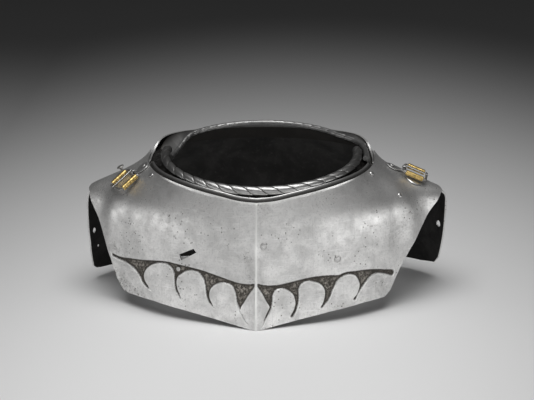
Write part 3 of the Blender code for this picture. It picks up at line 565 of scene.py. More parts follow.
def band_shape(depth, bead, lip):
    """Height and marks of the front plate: the sunken grounds, their beads, the ridge and the lip, and
    painted highlights along the beads, the lip and the ridge.
    """
    bands = [rounded(np.array(b, float) * (FLAT_SCALE, 1), 0.9) for b in (BAND_LEFT, BAND_RIGHT)]

    def shape(spots):
        lift = np.zeros(len(spots))
        ground, wide, edge = (np.zeros(len(spots)) for _ in range(3))
        for ring in bands:
            near = (spots[:, 1] > 55) & (np.abs(spots[:, 0] - ring[:, 0].mean()) < 110)
            away = distance(spots[near], ring)
            within = inside(spots[near], ring) | (away < 1e-4)
            beyond = spots[near] - nearest(spots[near], ring)
            beyond /= np.maximum(np.linalg.norm(beyond, axis=1, keepdims=True), 1e-9)
            side = -1 if ring[:, 0].mean() < 0 else 1
            lobe = np.clip(0.55 + 0.45 * beyond[:, 1] + 0.35 * side * beyond[:, 0], 0.06, 1)
            lobe = np.where(beyond[:, 1] < -0.75, 0.06, lobe)
            sunk = smooth(np.clip(away, 0, 1))
            raised = np.exp(-(((away - 0.8) / 0.55) ** 2)) * lobe
            lift[near] += np.where(within, -depth * sunk, bead * raised)
            ground[near] = np.maximum(ground[near], np.where(within, np.clip(away / 0.4, 0, 1), 0))
            wide[near] = np.maximum(wide[near], np.where(within, np.clip((away - 1.0) / 1.6, 0, 1), 0))
            # Painted highlight along each lobe's bead, stronger on one side, where the light catches it.
            painted_highlight = np.exp(-((away - 0.45) / 0.5) ** 2) * lobe
            edge[near] = np.maximum(edge[near], np.where(within, 0, painted_highlight))
        front = np.clip((75 - np.abs(spots[:, 0] / FLAT_SCALE)) / 20, 0, 1)
        rim = np.exp(-(spots[:, 1] / 0.9) ** 2) * front
        lift += lip * rim
        # The neck lip also gets a painted highlight.
        edge = np.maximum(edge, rim)
        # Painted highlight along the ridge line, kept off the sunken ground.
        ridge = np.exp(-spots[:, 0] ** 2) * (1 - ground)
        worn = np.zeros(len(spots))
        for angle, down, spread, strength in WORN:
            far = np.hypot((spots[:, 0] / FLAT_SCALE - angle) * 1.9, spots[:, 1] - down)
            worn = np.maximum(worn, strength * np.exp(-((far / spread) ** 2)))
        return lift, {"ground": ground, "wide": wide, "edge": edge, "ridge": ridge, "worn": worn}

    return bands, shape


def on_body(angle, down):
    """The front plate's layer, which is the body surface itself."""
    return 0.0 * angle


def tucked(angle, down):
    """The back plate's layer, which dips a little where it runs under the front plate."""
    turn = np.abs((angle + 180) % 360 - 180)
    near = np.clip((TUCK_END - turn) / TUCK_EASE, 0, 1)
    low = np.clip((down - TUCK_START) / TUCK_START, 0, 1)
    return BACK_LAYER - BACK_TUCK * near * low


def make_front_plate(settings, finishes):
    """Front plate with its ridge, band, lip, slot and holes."""
    outline = front_outline()
    bands, shape = band_shape(settings.band_depth, settings.band_bead, settings.lip)
    slot = np.array([(a * FLAT_SCALE, d) for a, d in SLOT])
    holes = [divided(slot, 1.5)]
    holes += [drilled(a, d * MM, r * MM * RIVET_SHANK + FIT) for a, d, r in RIVETS.values()]
    holes += [drilled(f[1], f[2], HASP_RIVET * RIVET_SHANK + FIT) for f in FITTINGS]
    holes.append(drilled(PIVOT[0], PIVOT[1] * MM, PIVOT_SHANK + FIT))
    holes.append(drilled(STUD[0], STUD[1] * MM, STUD_STEM + FIT))
    bottom = down_to(np.array(0.0), 0.0) / MM
    lines = [(np.stack([np.zeros(90), np.linspace(0, 1, 90) * bottom], axis=1), False)]
    for side in (-1.1, 1.1):
        lines.append((np.stack([np.full(80, side), np.linspace(0.02, 0.985, 80) * bottom], axis=1), False))
    for down in (0.5, 1.1, 1.8):
        run = np.linspace(-180, 180, 250)
        lines.append((np.stack([run, np.full(250, down)], axis=1), False))
    lines += [(ring, True) for ring in bands]
    low, high = outline.min(axis=0), outline.max(axis=0)
    coarse = grid_points(low, high, 3.0)
    coarse = coarse[(coarse[:, 1] < FINE_TOP) | (np.abs(coarse[:, 0]) > FINE_SIDE)]
    fine = grid_points((-FINE_SIDE, FINE_TOP), (FINE_SIDE, FINE_BOTTOM), settings.detail / MM)
    close = np.full(len(fine), 1e9)
    for ring in bands:
        close = np.minimum(close, distance(fine, ring))
    thinned = (close < 3.2) | ((np.arange(len(fine)) % 3) == 0)
    grid = np.concatenate([coarse, fine[thinned & (close > settings.detail / MM * 0.35)]])
    grid = grid[inside(grid, outline) & (distance(grid, outline) > 0.5)]
    for hole in holes:
        grid = grid[distance(grid, hole) > 0.4]
    grid = grid[(np.abs(grid[:, 0]) > 1.6) & (grid[:, 1] > 2.4)]
    return plate("front_plate_steel", outline, holes, lines, grid, on_body, shape, PLATE_WALL,
                 (finishes["plate"], finishes["inside"]), "front_plate")


def make_back_plate(settings, finishes):
    """Back plate, which lies under the front plate at both shoulders."""
    left = edge_ring(BACK_EDGE, -1, 60)[:-1][::-1] + flat(360, 0)
    around = np.concatenate([edge_ring(BACK_EDGE, 1, 60), left])
    start = flat([BACK_START_RIGHT] * 2, [3 * MM, BACK_SHOULDER_DOWN])
    end = flat([360 - BACK_START_LEFT] * 2, [BACK_SHOULDER_DOWN, 3 * MM])
    neck = np.linspace(360 - BACK_START_LEFT - 2, BACK_START_RIGHT + 2, 130)
    outline = divided(np.concatenate([start, around, end, flat(neck, 0 * neck)]), 3.0)
    places = [(a, d * MM, r * MM) for a, d, r in STRIP_HOLES]
    places += [(PIVOT[0], PIVOT[1] * MM, PIVOT_SHANK + FIT), (STUD[0], STUD[1] * MM, STUD_STEM + FIT)]
    holes = [drilled(a % 360, d, r) for a, d, r in places]
    grid = grid_points(outline.min(axis=0), outline.max(axis=0), 3.2)
    grid = grid[inside(grid, outline) & (distance(grid, outline) > 1.2)]
    for hole in holes:
        grid = grid[distance(grid, hole) > 0.8]

    def shape(spots):
        none = np.zeros(len(spots))
        rim = distance(spots, outline)
        # Painted highlight along the back plate's cut edge.
        edge = np.exp(-((rim / 0.7) ** 2)) * 0.5
        return none, {"ground": none, "wide": none, "edge": edge, "ridge": none, "worn": none + 0.12}

    return plate("back_plate_steel", outline, holes, [], grid, tucked, shape, PLATE_WALL,
                 (finishes["plate"], finishes["inside"]), "back_plate")


def sweep(name, places, section, material, marks=None, closed=False, body_name=BODY, sharp=40):
    """A solid through a ring of section points at each place, with flat ends or closed on itself."""
    rings = [section(place) for place in places]
    size = len(rings[0])
    faces = []
    for i in range(len(rings) if closed else len(rings) - 1):
        onward = (i + 1) % len(rings) * size
        for j in range(size):
            k = (j + 1) % size
            faces.append((i * size + j, i * size + k, onward + k, onward + j))
    if not closed:
        faces.append(tuple(range(size))[::-1])
        faces.append(tuple((len(rings) - 1) * size + j for j in range(size)))
    return new_object(name, np.concatenate(rings), faces, material, marks, body_name, sharp)


def ring_place(angle, shift):
    """Middle of the collar's rim at an angle, as radius and height."""
    turn = math.radians(angle)
    radius = 1 / math.hypot(math.sin(turn) / COLLAR_HALF_WIDTH, math.cos(turn) / COLLAR_DEPTH)
    first = (COLLAR_FRONT_HEIGHT - COLLAR_BACK_HEIGHT) / 2
    second = (COLLAR_FRONT_HEIGHT + COLLAR_BACK_HEIGHT) / 4 - COLLAR_SIDE_HEIGHT / 2
    height = COLLAR_SIDE_HEIGHT + second + first * math.cos(turn) + second * math.cos(2 * turn)
    return np.array([radius + shift[0], height + shift[1]])


def collar_section(angle, shift, layer, radius_at, arc_points):
    """Ring of points of a collar at an angle: its rim and the skirt that runs under the plate."""
    top = ring_place(angle, shift)
    turn = math.radians(angle)
    under = body(np.full(2, float(angle)), np.array([0.0, COLLAR_HEM]), layer) + MIDDLE
    line = [top, *(np.array([math.hypot(p[0], p[1]), p[2]]) for p in under)]
    along = [(b - a) / np.linalg.norm(b - a) for a, b in zip(line, line[1:])]
    out = [np.array([-a[1], a[0]]) for a in along]
    half = COLLAR_WALL / 2
    bend = (out[0] + out[1]) / (1 + out[0] @ out[1])
    start = math.asin(half / radius_at(0.0))
    ring = [line[2] + out[1] * half, line[1] + bend * half]
    for t in np.linspace(start, 2 * math.pi - start, arc_points):
        ring.append(top + (along[0] * math.cos(t) + out[0] * math.sin(t)) * radius_at(t))
    ring += [line[1] - bend * half, line[2] - out[1] * half]
    ring = np.array(ring)
    points = np.stack([ring[:, 0] * math.sin(turn), -ring[:, 0] * math.cos(turn), ring[:, 1]], axis=1)
    return points - MIDDLE


def lap(angle, start, full):
    """Share of an overlap at an angle, which grows smoothly from its start to its full value."""
    return smooth(min(1.0, max(0.0, (angle - start) / (full - start))))


def make_front_collar(settings, finishes):
    """Front collar with its roped rim, cut by slanting notches."""
    angles = np.linspace(-FRONT_COLLAR_LEFT, FRONT_COLLAR_RIGHT, 900)
    arc = 34
    notches, skirts = [], []

    def notch(angle, turn):
        phase = math.radians(angle) * COLLAR_MEAN / settings.rope_pitch
        phase += turn * settings.rope_slant / (2 * math.pi)
        away = (phase + 0.5) % 1 - 0.5
        return math.exp(-((away * settings.rope_pitch / settings.notch_width) ** 2)), away

    def section(angle):
        def radius_at(turn):
            flank = min(1.0, abs(math.sin(turn / 2)) * 2.4)
            cut, away = notch(angle, turn)
            swell = 0.5 + 0.5 * math.cos(2 * math.pi * away)
            return settings.rope_radius * (1 - flank * (0.05 * swell + 0.13 * cut))

        layer = COLLAR_LAYER - COLLAR_STEP * lap(angle, *FRONT_STEP)
        start = math.asin(COLLAR_WALL / 2 / settings.rope_radius)
        turns = np.linspace(start, 2 * math.pi - start, arc)
        clear = np.minimum(1, np.abs(np.sin(turns / 2)) * 2) ** 3
        # Notch mark, used for painted shade in the notches.
        notches.append([0, 0, *(notch(angle, t)[0] * c for t, c in zip(turns, clear)), 0, 0])
        # Skirt mark for painted shade: the skirt, and the rim towards the sides, where it sits in shadow.
        dulled_and_shaded = 0.7 * lap(abs(angle), *DULLED_SHADED_RIM)
        skirts.append([1, 1, *(1.0 if c < 0.2 else dulled_and_shaded for c in clear), 1, 1])
        return collar_section(angle, (0.0, 0.0), layer, radius_at, arc)

    made = sweep("front_collar_roped", angles, section, finishes["rope"], sharp=75)
    for mark, rows in (("notch", notches), ("skirt", skirts)):
        layer = made.data.attributes.new(mark, "FLOAT", "POINT")
        layer.data.foreach_set("value", np.array(rows, np.float32).ravel())
    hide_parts("front_collar")
    return made


def make_back_collar(settings, finishes):
    """Back collar with its turned and faintly roped rim."""
    angles = np.linspace(BACK_COLLAR_RIGHT, 360 - BACK_COLLAR_LEFT, 620)
    arc = 18
    apart = settings.rope_radius + RIM_RADIUS + LAYER_GAP

    def section(angle):
        left = lap(angle, *LEFT_LAP)
        right = 1 - lap(angle, *RIGHT_LAP)
        shift = (apart * (right - left * math.cos(LEFT_DIP)), -apart * left * math.sin(LEFT_DIP))

        def radius_at(turn):
            away = math.cos(2 * math.pi * math.radians(angle) * COLLAR_MEAN / BACK_NOTCH_PITCH - turn)
            return RIM_RADIUS * (1 - 0.09 * max(0.0, away) * min(1.0, abs(math.sin(turn / 2)) * 2.4))

        return collar_section(angle, shift, COLLAR_LAYER - COLLAR_STEP * left, radius_at, arc)

    # The skirt mark gives the back collar's skirt painted shade.
    skirt = np.tile([1.0, 1.0, *[0.0] * arc, 1.0, 1.0], len(angles))
    made = sweep("back_collar_rim", angles, section, finishes["rim"], {"skirt": skirt}, sharp=75)
    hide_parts("back_collar")
    return made


def make_neck_lame(settings, finishes):
    """Thin lame between the front plate and the front collar."""
    downs = np.array([-LAME_RISE, -LAME_RISE + 0.5 * MM, -2 * MM, 0, 2 * MM, 4 * MM, COLLAR_HEM * 0.8])

    def section(angle):
        here = np.full(len(downs), float(angle))
        ease = np.array([-0.3, 0, 0, 0, 0, 0, 0]) * MM
        outer = body(here, downs, LAME_LAYER + ease)
        inner = body(here, downs, LAME_LAYER - LAME_WALL - ease * 0.5)
        return np.concatenate([outer[::-1], inner])

    angles = np.linspace(-LAME_END, LAME_END, 240)
    # Skirt mark for painted shade on the lame, all but its top edge.
    skirt = np.tile([1, 1, 1, 1, 0.8, 0.0, 0.0, 0.0, 0.0, 1, 1, 1, 1, 1.0], len(angles))
    made = sweep("neck_lame_steel", angles, section, finishes["rope"], {"skirt": skirt})
    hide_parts("neck_lame")
    return made


def turned(name, angle, down, sections, material, sides, replaced, body_name=BODY):
    """A round piece that stands on the plates, through rings of a radius and a distance out."""

    def section(row):
        ring = drilled(angle, down, row[0], sides)
        return body(ring[:, 0] / FLAT_SCALE, ring[:, 1] * MM, row[1])

    made = sweep(name, sections, section, material, body_name=body_name)
    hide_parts(replaced)
    return made


def dome(radius, foot, rise, shank, end):
    """Sections of a low rivet head with its shank."""
    turns = np.radians(range(6, 91, 12))
    rows = [(radius * math.sin(t), foot + rise * (0.18 + 0.82 * math.cos(t))) for t in turns]
    return rows + [(radius, foot + rise * 0.08), (radius * 0.97, foot), (shank, foot), (shank, end)]


def make_rivets(settings, finishes):
    """All the small rivets, the shoulder pivot and the closing stud."""
    for name, (angle, down, radius) in RIVETS.items():
        radius = radius * MM
        rows = dome(radius, GAP, 0.9 * MM, radius * RIVET_SHANK, FIT - PLATE_WALL)
        if name.startswith("plug"):
            ring = [(0.3, 0.55), (0.52, 0.5), (0.6, 0.2), (0.72, 0.2), (0.8, 0.75), (0.94, 0.6)]
            rows = [(radius * r, GAP + h * MM) for r, h in ring] + rows[-4:]
        turned(name + "_head", angle, down * MM, rows, finishes["rivet"], 28, name)
    for side, angle, rivet_down, *_ in FITTINGS:
        foot = STRAP_WALL + GAP + GAP
        rows = dome(HASP_RIVET, foot, 0.9 * MM, HASP_RIVET * RIVET_SHANK, FIT - PLATE_WALL)
        turned("hasp_rivet_%s_head" % side, angle, rivet_down, rows, finishes["rivet"], 28,
               "hasp_rivet_" + side)
    end = BACK_LAYER - PLATE_WALL
    knob = [(PIVOT_SHANK * r, h * MM) for r, h in ((0.5, 2.0), (0.9, 1.9), (1.25, 1.5))]
    disc = ((0.6, 1.42), (0.82, 1.4), (0.93, 1.25), (1, 0.85), (0.98, 0.35))
    rows = knob + [(PIVOT_DISC * r, h * MM) for r, h in disc] + [(PIVOT_SHANK, GAP), (PIVOT_SHANK, end)]
    turned("shoulder_pivot_disc", PIVOT[0], PIVOT[1] * MM, rows, finishes["rivet"], 48,
           "shoulder_pivot")
    turns = np.radians(range(8, 91, 13))
    rows = [(STUD_HEAD * math.sin(t), STUD_HEIGHT * (0.83 + 0.17 * math.cos(t))) for t in turns]
    rows += [(STUD_HEAD * 0.97, STUD_HEIGHT * 0.79), (STUD_HEAD * 0.8, STUD_HEIGHT * 0.74)]
    rows += [(STUD_STEM, STUD_HEIGHT * 0.68), (STUD_STEM * 0.85, STUD_HEIGHT * 0.4)]
    rows += [(STUD_STEM, 0.0), (STUD_STEM, end)]
    turned("closing_stud_turned", STUD[0], STUD[1] * MM, rows, finishes["dark"], 32,
           "closing_stud")


def eye_frame(fitting):
    """Middle of a buckle's inner bar, with the ways along the buckle, to the back, along the bar and up."""
    _, angle, _, eye_down, raised, turn = fitting
    lift = GAP + STRAP_WALL + FIT + BAR_RADIUS + raised
    angle, eye_down = np.array(float(angle)), np.array(float(eye_down))
    along, right, up = directions(angle, eye_down)
    back = right * np.sign(angle)
    turn = math.radians(turn)
    onward = along * math.cos(turn) - back * math.sin(turn)
    across = back * math.cos(turn) + along * math.sin(turn)
    return body(angle, eye_down, lift), onward, back, across, up


def smooth_line(rows, count):
    """More stations on a smooth line through these."""
    rows = np.asarray(rows, float)
    slope = np.gradient(rows, axis=0)
    found = []
    for t in np.linspace(0, len(rows) - 1, count):
        i = min(int(t), len(rows) - 2)
        s = t - i
        found.append(hermite(rows[i], slope[i], rows[i + 1], slope[i + 1], s))
    return np.array(found)


def strip(name, line, faces_out, across, widths, shifts, wall, material, body_name, count=72):
    """A strip with eased edges along a line of points."""
    line, faces_out, across = (smooth_line(v, count) for v in (line, faces_out, across))
    widths, shifts = (smooth_line(np.array(v)[:, None], count)[:, 0] for v in (widths, shifts))

    def section(i):
        middle = line[i] + across[i] * shifts[i]
        side, lift = across[i] * widths[i] / 2, faces_out[i] * wall / 2
        ease = 1 - min(0.7, wall * 0.6 / widths[i])
        return np.array([
            middle + side * a * (1 if abs(b) < 0.9 else ease) + lift * b for a, b in STRIP_RING
        ])

    return sweep(name, range(count), section, material, body_name=body_name, sharp=50)


def make_hasp(fitting, finishes):
    """A hasp: a strap riveted on the shoulder, curled round the buckle's inner bar."""
    side, angle, rivet_down, eye_down, raised, _ = fitting
    middle, onward, back, across, up = eye_frame(fitting)
    first = rivet_down - HASP_LENGTH * 0.3
    share = np.linspace(0, 1, 8)
    downs = first + (eye_down - first) * share
    outs = GAP + STRAP_WALL / 2 + raised * np.clip((share - 0.55) / 0.4, 0, 1)
    line = list(body(np.full(8, float(angle)), downs, outs))
    faces_out = [up] * 8
    widths = list(HASP_WIDTH * np.array([0.45, 0.86, 1.0, 1.0, 0.9, 0.66])) + [HASP_EYE] * 2
    shifts = [0.0] * 5 + [EYE_SHIFT / 3, EYE_SHIFT, EYE_SHIFT]
    ways = [back] * 6 + [across] * 2
    radius = BAR_RADIUS + FIT + STRAP_WALL / 2
    for turn in np.radians(np.linspace(0, CURL, 9))[1:]:
        way = onward * math.sin(turn) - up * math.cos(turn)
        line.append(middle + way * radius)
        faces_out.append(-way)
        widths.append(HASP_EYE)
        shifts.append(EYE_SHIFT)
        ways.append(across)
    made = strip("hasp_%s_strap" % side, line, faces_out, ways, widths, shifts, STRAP_WALL,
                 finishes["hasp"], BODY)
    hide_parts("hasp_" + side)


def make_buckle(fitting, finishes):
    """A buckle: its frame of round wire, its prong and its two brass rollers."""
    side = fitting[0]
    middle, onward, _, across, up = eye_frame(fitting)
    half, length, corner = BUCKLE_WIDTH / 2, BUCKLE_LENGTH, BUCKLE_CORNER
    path, outward = [], []
    for x, y, start in ((length - corner, half - corner, 0), (corner, half - corner, 90),
                        (corner, corner - half, 180), (length - corner, corner - half, 270)):
        for turn in np.radians(start + np.linspace(0, 90, 7)):
            way = onward * math.cos(turn) + across * math.sin(turn)
            path.append(middle + onward * x + across * y + way * corner)
            outward.append(way)

    def section(i):
        return np.array([
            path[i] + (outward[i] * math.cos(t) + up * math.sin(t)) * BAR_RADIUS
            for t in 2 * np.pi * np.arange(18) / 18
        ])

    made = sweep("buckle_%s_wire" % side, range(len(path)), section, finishes["dark"], closed=True,
                 body_name="buckle_%s_frame" % side)
    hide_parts("buckle_" + side)

    radius = BAR_RADIUS + FIT + PRONG_WALL / 2
    line, faces_out = [], []
    for turn in np.radians(np.linspace(CURL, 0, 9)):
        way = up * math.cos(turn) - onward * math.sin(turn)
        line.append(middle + way * radius)
        faces_out.append(way)
    for reach in (0.3, 0.5, 0.8, 0.95, 1.08):
        line.append(middle + up * radius + onward * BUCKLE_LENGTH * reach)
        faces_out.append(up)
    widths = [PRONG_WIDTH] * 11 + [PRONG_WIDTH * 0.95, PRONG_WIDTH * 0.8, PRONG_WIDTH * 0.4]
    shifts = [EYE_SHIFT + HASP_EYE / 2 + FIT + PRONG_WIDTH / 2] * len(line)
    made = strip("prong_%s_tongue" % side, line, faces_out, [across] * len(line), widths, shifts, PRONG_WALL,
                 finishes["rivet"], "prong_%s_strip" % side)
    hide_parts("prong_" + side)

    for end, place in (("front", -1), ("back", 1)):
        centre = middle + across * place * BUCKLE_WIDTH / 2 + onward * BUCKLE_LENGTH / 2
        reach = BUCKLE_LENGTH / 2 - BUCKLE_CORNER - FIT / 2
        bore, outer, ease = BAR_RADIUS + FIT, ROLLER_RADIUS, 0.35 * MM

        def ring(turn):
            way = across * math.cos(turn) + up * math.sin(turn)
            rows = [(-reach, bore), (reach, bore), (reach, outer - ease), (reach - ease, outer)]
            rows += [(reach * 0.33, outer), (-reach * 0.33, outer), (ease - reach, outer)]
            rows.append((-reach, outer - ease))
            return np.array([centre + onward * x + way * r for x, r in rows])

        name = "roller_%s_%s" % (side, end)
        made = sweep(name + "_brass", 2 * np.pi * np.arange(36) / 36, ring, finishes["brass"], closed=True,
                     body_name=name + "_tube", sharp=35)
        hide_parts(name)


class Finish:
    """A metal finish, put together from shader nodes."""

    def __init__(self, name):
        self.material = bpy.data.materials.new(name)
        self.material.use_nodes = True
        self.tree = self.material.node_tree
        self.shader = self.tree.nodes["Principled BSDF"]
        self.place = self.tree.nodes.new("ShaderNodeTexCoord").outputs["Object"]

    def join(self, source, target):
        if hasattr(source, "is_linked") or hasattr(source, "links"):
            self.tree.links.new(source, target)
        else:
            target.default_value = source

    def moved(self, scale, turn=(0, 0, 0)):
        node = self.tree.nodes.new("ShaderNodeMapping")
        self.tree.links.new(self.place, node.inputs["Vector"])
        node.inputs["Scale"].default_value = scale
        node.inputs["Rotation"].default_value = [math.radians(t) for t in turn]
        return node.outputs["Vector"]

    def noise(self, scale, detail=5, rough=0.6, vector=None, warp=0.0):
        node = self.tree.nodes.new("ShaderNodeTexNoise")
        self.tree.links.new(vector or self.place, node.inputs["Vector"])
        node.inputs["Scale"].default_value = scale
        node.inputs["Detail"].default_value = detail
        node.inputs["Roughness"].default_value = rough
        node.inputs["Distortion"].default_value = warp
        return node.outputs["Fac"]

    def cells(self, scale):
        node = self.tree.nodes.new("ShaderNodeTexVoronoi")
        self.tree.links.new(self.place, node.inputs["Vector"])
        node.inputs["Scale"].default_value = scale
        return node.outputs["Distance"]

    def mark(self, name):
        node = self.tree.nodes.new("ShaderNodeAttribute")
        node.attribute_name = name
        return node.outputs["Fac"]

    def ramp(self, value, low, high, start=0.0, end=1.0):
        node = self.tree.nodes.new("ShaderNodeMapRange")
        node.interpolation_type = "SMOOTHSTEP"
        self.join(value, node.inputs["Value"])
        for slot_name, number in (("From Min", low), ("From Max", high), ("To Min", start), ("To Max", end)):
            node.inputs[slot_name].default_value = number
        return node.outputs["Result"]

    def math(self, kind, a, b=0.0):
        node = self.tree.nodes.new("ShaderNodeMath")
        node.operation = kind
        node.use_clamp = kind in ("ADD", "SUBTRACT", "MULTIPLY")
        self.join(a, node.inputs[0])
        self.join(b, node.inputs[1])
        return node.outputs[0]

    def mix(self, share, a, b):
        node = self.tree.nodes.new("ShaderNodeMix")
        node.data_type = "RGBA"
        for value, slot_number in ((share, 0), (a, 6), (b, 7)):
            if isinstance(value, tuple):
                value = (*value, 1)
            self.join(value, node.inputs[slot_number])
        return node.outputs[2]

    def bump(self, height, strength, reach):
        node = self.tree.nodes.new("ShaderNodeBump")
        node.inputs["Strength"].default_value = strength
        node.inputs["Distance"].default_value = reach
        self.join(height, node.inputs["Height"])
        if self.shader.inputs["Normal"].links:
            self.tree.links.new(self.shader.inputs["Normal"].links[0].from_socket, node.inputs["Normal"])
        self.tree.links.new(node.outputs["Normal"], self.shader.inputs["Normal"])

    def set(self, **values):
        for name, value in values.items():
            self.join(value, self.shader.inputs[name.replace("_", " ")])


def shade(colour, amount):
    """A colour made darker or lighter."""
    return tuple(min(1.0, c * amount) for c in colour)


def steel_finish(name, colour, rough, plate_marks=False, notch=False, dark=1.0):
    """Old satin steel: mottled, scratched and pitted; on the plates, painted highlights along the edges, lip
    and ridge; on the rims, painted shade in the notches and on the skirts.
    """
    steel = Finish(name)
    colour = shade(colour, dark)
    mottle = steel.noise(70, 7, 0.66, warp=0.4)
    tone = steel.mix(steel.ramp(mottle, 0.32, 0.7), shade(colour, 0.78), shade(colour, 1.1))
    cloud = steel.noise(22, 4, 0.55)
    tone = steel.mix(steel.ramp(cloud, 0.48, 0.7, 0, 0.3), tone, shade(colour, 0.62))
    grain = steel.noise(620, 4, 0.72)
    tone = steel.mix(steel.ramp(grain, 0.5, 0.72, 0, 0.5), tone, shade(colour, 0.5))
    scratch = steel.noise(1, 2, 0.5, steel.moved((60, 60, 1400), (8, 24, 0)))
    fine_line = steel.ramp(scratch, 0.62, 0.7)
    other = steel.noise(1, 2, 0.5, steel.moved((1200, 90, 50), (0, 38, 0)))
    other_line = steel.ramp(other, 0.64, 0.7)
    tone = steel.mix(steel.math("MULTIPLY", fine_line, 0.3), tone, shade(colour, 1.35))
    tone = steel.mix(steel.math("MULTIPLY", other_line, 0.25), tone, shade(colour, 0.5))
    dots = steel.ramp(steel.cells(300), 0.24, 0.08)
    spots = steel.math("MULTIPLY", dots, steel.ramp(steel.noise(40, 3, 0.6), 0.5, 0.62, 0.05, 0.85))
    roughness = steel.ramp(mottle, 0.3, 0.75, rough + 0.08, rough - 0.05)
    if plate_marks:
        worn = steel.math("MULTIPLY", steel.mark("worn"), steel.ramp(steel.noise(230, 5, 0.7), 0.42, 0.6))
        deep = steel.math("MULTIPLY", steel.mark("worn"), steel.ramp(steel.cells(420), 0.34, 0.12))
        spots = steel.math("ADD", spots, steel.math("ADD", steel.math("MULTIPLY", worn, 0.5), deep))
    tone = steel.mix(spots, tone, (0.055, 0.045, 0.038))
    roughness = steel.math("ADD", roughness, steel.math("MULTIPLY", spots, 0.3))
    metal = steel.ramp(spots, 0.2, 1.0, 1.0, 0.35)
    if plate_marks:
        # Painted highlights: the edge and ridge marks mix the tone towards near white, broken up by noise,
        # with a little less roughness.
        highlight_breakup = steel.ramp(steel.noise(160, 3, 0.6), 0.25, 0.6, 0.55, 1.0)
        edge = steel.math("MULTIPLY", steel.mark("edge"), highlight_breakup)
        painted_highlight = steel.math("ADD", edge, steel.mark("ridge"))
        tone = steel.mix(painted_highlight, tone, (0.93, 0.93, 0.91))
        roughness = steel.math("SUBTRACT", roughness, steel.math("MULTIPLY", painted_highlight, 0.08))
        ground = steel.mark("ground")
        fleck = steel.ramp(steel.noise(460, 5, 0.75), 0.42, 0.62)
        patches = steel.ramp(steel.noise(110, 3, 0.6), 0.34, 0.6, 0.3, 1.0)
        broad = steel.math("MULTIPLY", steel.mark("wide"), patches)
        low = steel.mix(steel.math("MULTIPLY", fleck, broad), (0.06, 0.054, 0.047), (0.42, 0.39, 0.35))
        tone = steel.mix(ground, tone, low)
        roughness = steel.math("ADD", roughness, steel.math("MULTIPLY", ground, 0.25))
        metal = steel.math("SUBTRACT", metal, steel.math("MULTIPLY", ground, 0.45))
        steel.bump(steel.math("MULTIPLY", fleck, ground), 0.5, 0.0003)
    if notch:
        # Painted shade in the rope's notches.
        cut = steel.ramp(steel.mark("notch"), 0.25, 0.8)
        tone = steel.mix(cut, tone, (0.02, 0.017, 0.015))
        # Painted shade on the skirts and lame that sit in shadow under the plates, and on the front rope
        # towards its sides.
        tone = steel.mix(steel.mark("skirt"), tone, (0.035, 0.033, 0.031))
        metal = steel.math("SUBTRACT", metal, steel.math("MULTIPLY", cut, 0.6))
        roughness = steel.math("ADD", roughness, steel.math("MULTIPLY", steel.mark("skirt"), 0.15))
    steel.set(Base_Color=tone, Metallic=metal, Roughness=roughness)
    steel.bump(steel.noise(26, 2, 0.5), 0.25, 0.0009)
    steel.bump(steel.noise(240, 4, 0.6), 0.16, 0.0002)
    steel.bump(steel.math("SUBTRACT", fine_line, other_line), 0.12, 0.00008)
    steel.bump(steel.math("SUBTRACT", 1.0, spots), 0.5, 0.0003)
    return steel.material


def inside_finish(name, colour):
    """The dark, unpolished inner face of the plates."""
    metal = Finish(name)
    cloud = metal.noise(40, 6, 0.65, warp=0.5)
    tone = metal.mix(metal.ramp(cloud, 0.35, 0.7), shade(colour, 0.6), shade(colour, 1.5))
    spots = metal.ramp(metal.noise(300, 4, 0.7), 0.55, 0.7)
    tone = metal.mix(metal.math("MULTIPLY", spots, 0.5), tone, shade(colour, 2.4))
    metal.set(Base_Color=tone, Metallic=0.55, Roughness=metal.ramp(cloud, 0.3, 0.7, 0.62, 0.5))
    metal.bump(metal.noise(180, 5, 0.65), 0.35, 0.0004)
    metal.bump(metal.noise(38, 3, 0.5), 0.3, 0.001)
    return metal.material


def brass_finish(name, colour):
    """Worn brass with darker stains."""
    brass = Finish(name)
    stain = brass.noise(260, 5, 0.65, warp=0.3)
    tone = brass.mix(brass.ramp(stain, 0.38, 0.66), shade(colour, 0.42), colour)
    scratch = brass.ramp(brass.noise(1, 2, 0.5, brass.moved((900, 900, 120))), 0.6, 0.72)
    tone = brass.mix(brass.math("MULTIPLY", scratch, 0.5), tone, shade(colour, 1.3))
    brass.set(Base_Color=tone, Metallic=1.0, Roughness=brass.ramp(stain, 0.35, 0.7, 0.42, 0.24))
    brass.bump(brass.noise(500, 4, 0.6), 0.2, 0.0002)
    brass.bump(scratch, 0.15, 0.0001)
    return brass.material


class GorgetPlateSettings(bpy.types.PropertyGroup):
    """Sizes of the plates' relief."""

    band_depth: FloatProperty(name="Band depth", description="How deep the band's ground lies",
                              default=0.9 * MM, min=0.0, max=0.0015, unit="LENGTH")
    band_bead: FloatProperty(name="Band bead", description="How far the rim of each lobe stands out",
                             default=0.28 * MM, min=0.0, max=0.001, unit="LENGTH")
    lip: FloatProperty(name="Neck lip", description="How far the neck edge is turned out", default=0.6 * MM,
                       min=0.0, max=0.001, unit="LENGTH")
    detail: FloatProperty(name="Detail", description="Spacing of the mesh round the band", default=0.85 * MM,
                          min=0.0004, max=0.004, unit="LENGTH")


class GorgetCollarSettings(bpy.types.PropertyGroup):
    """Sizes of the collars' rims."""

    rope_radius: FloatProperty(name="Rope radius", description="Radius of the roped rim", default=4.1 * MM,
                               min=0.002, max=0.006, unit="LENGTH")
    rope_pitch: FloatProperty(name="Rope pitch", description="Distance between the rope's notches",
                              default=12.5 * MM, min=0.004, max=0.03, unit="LENGTH")
    rope_slant: FloatProperty(name="Rope slant", description="Notches that one turn round the rim crosses",
                              default=2.2, min=-6.0, max=6.0)
    notch_width: FloatProperty(name="Notch width", description="Width of a notch", default=0.75 * MM,
                               min=0.0002, max=0.003, unit="LENGTH")


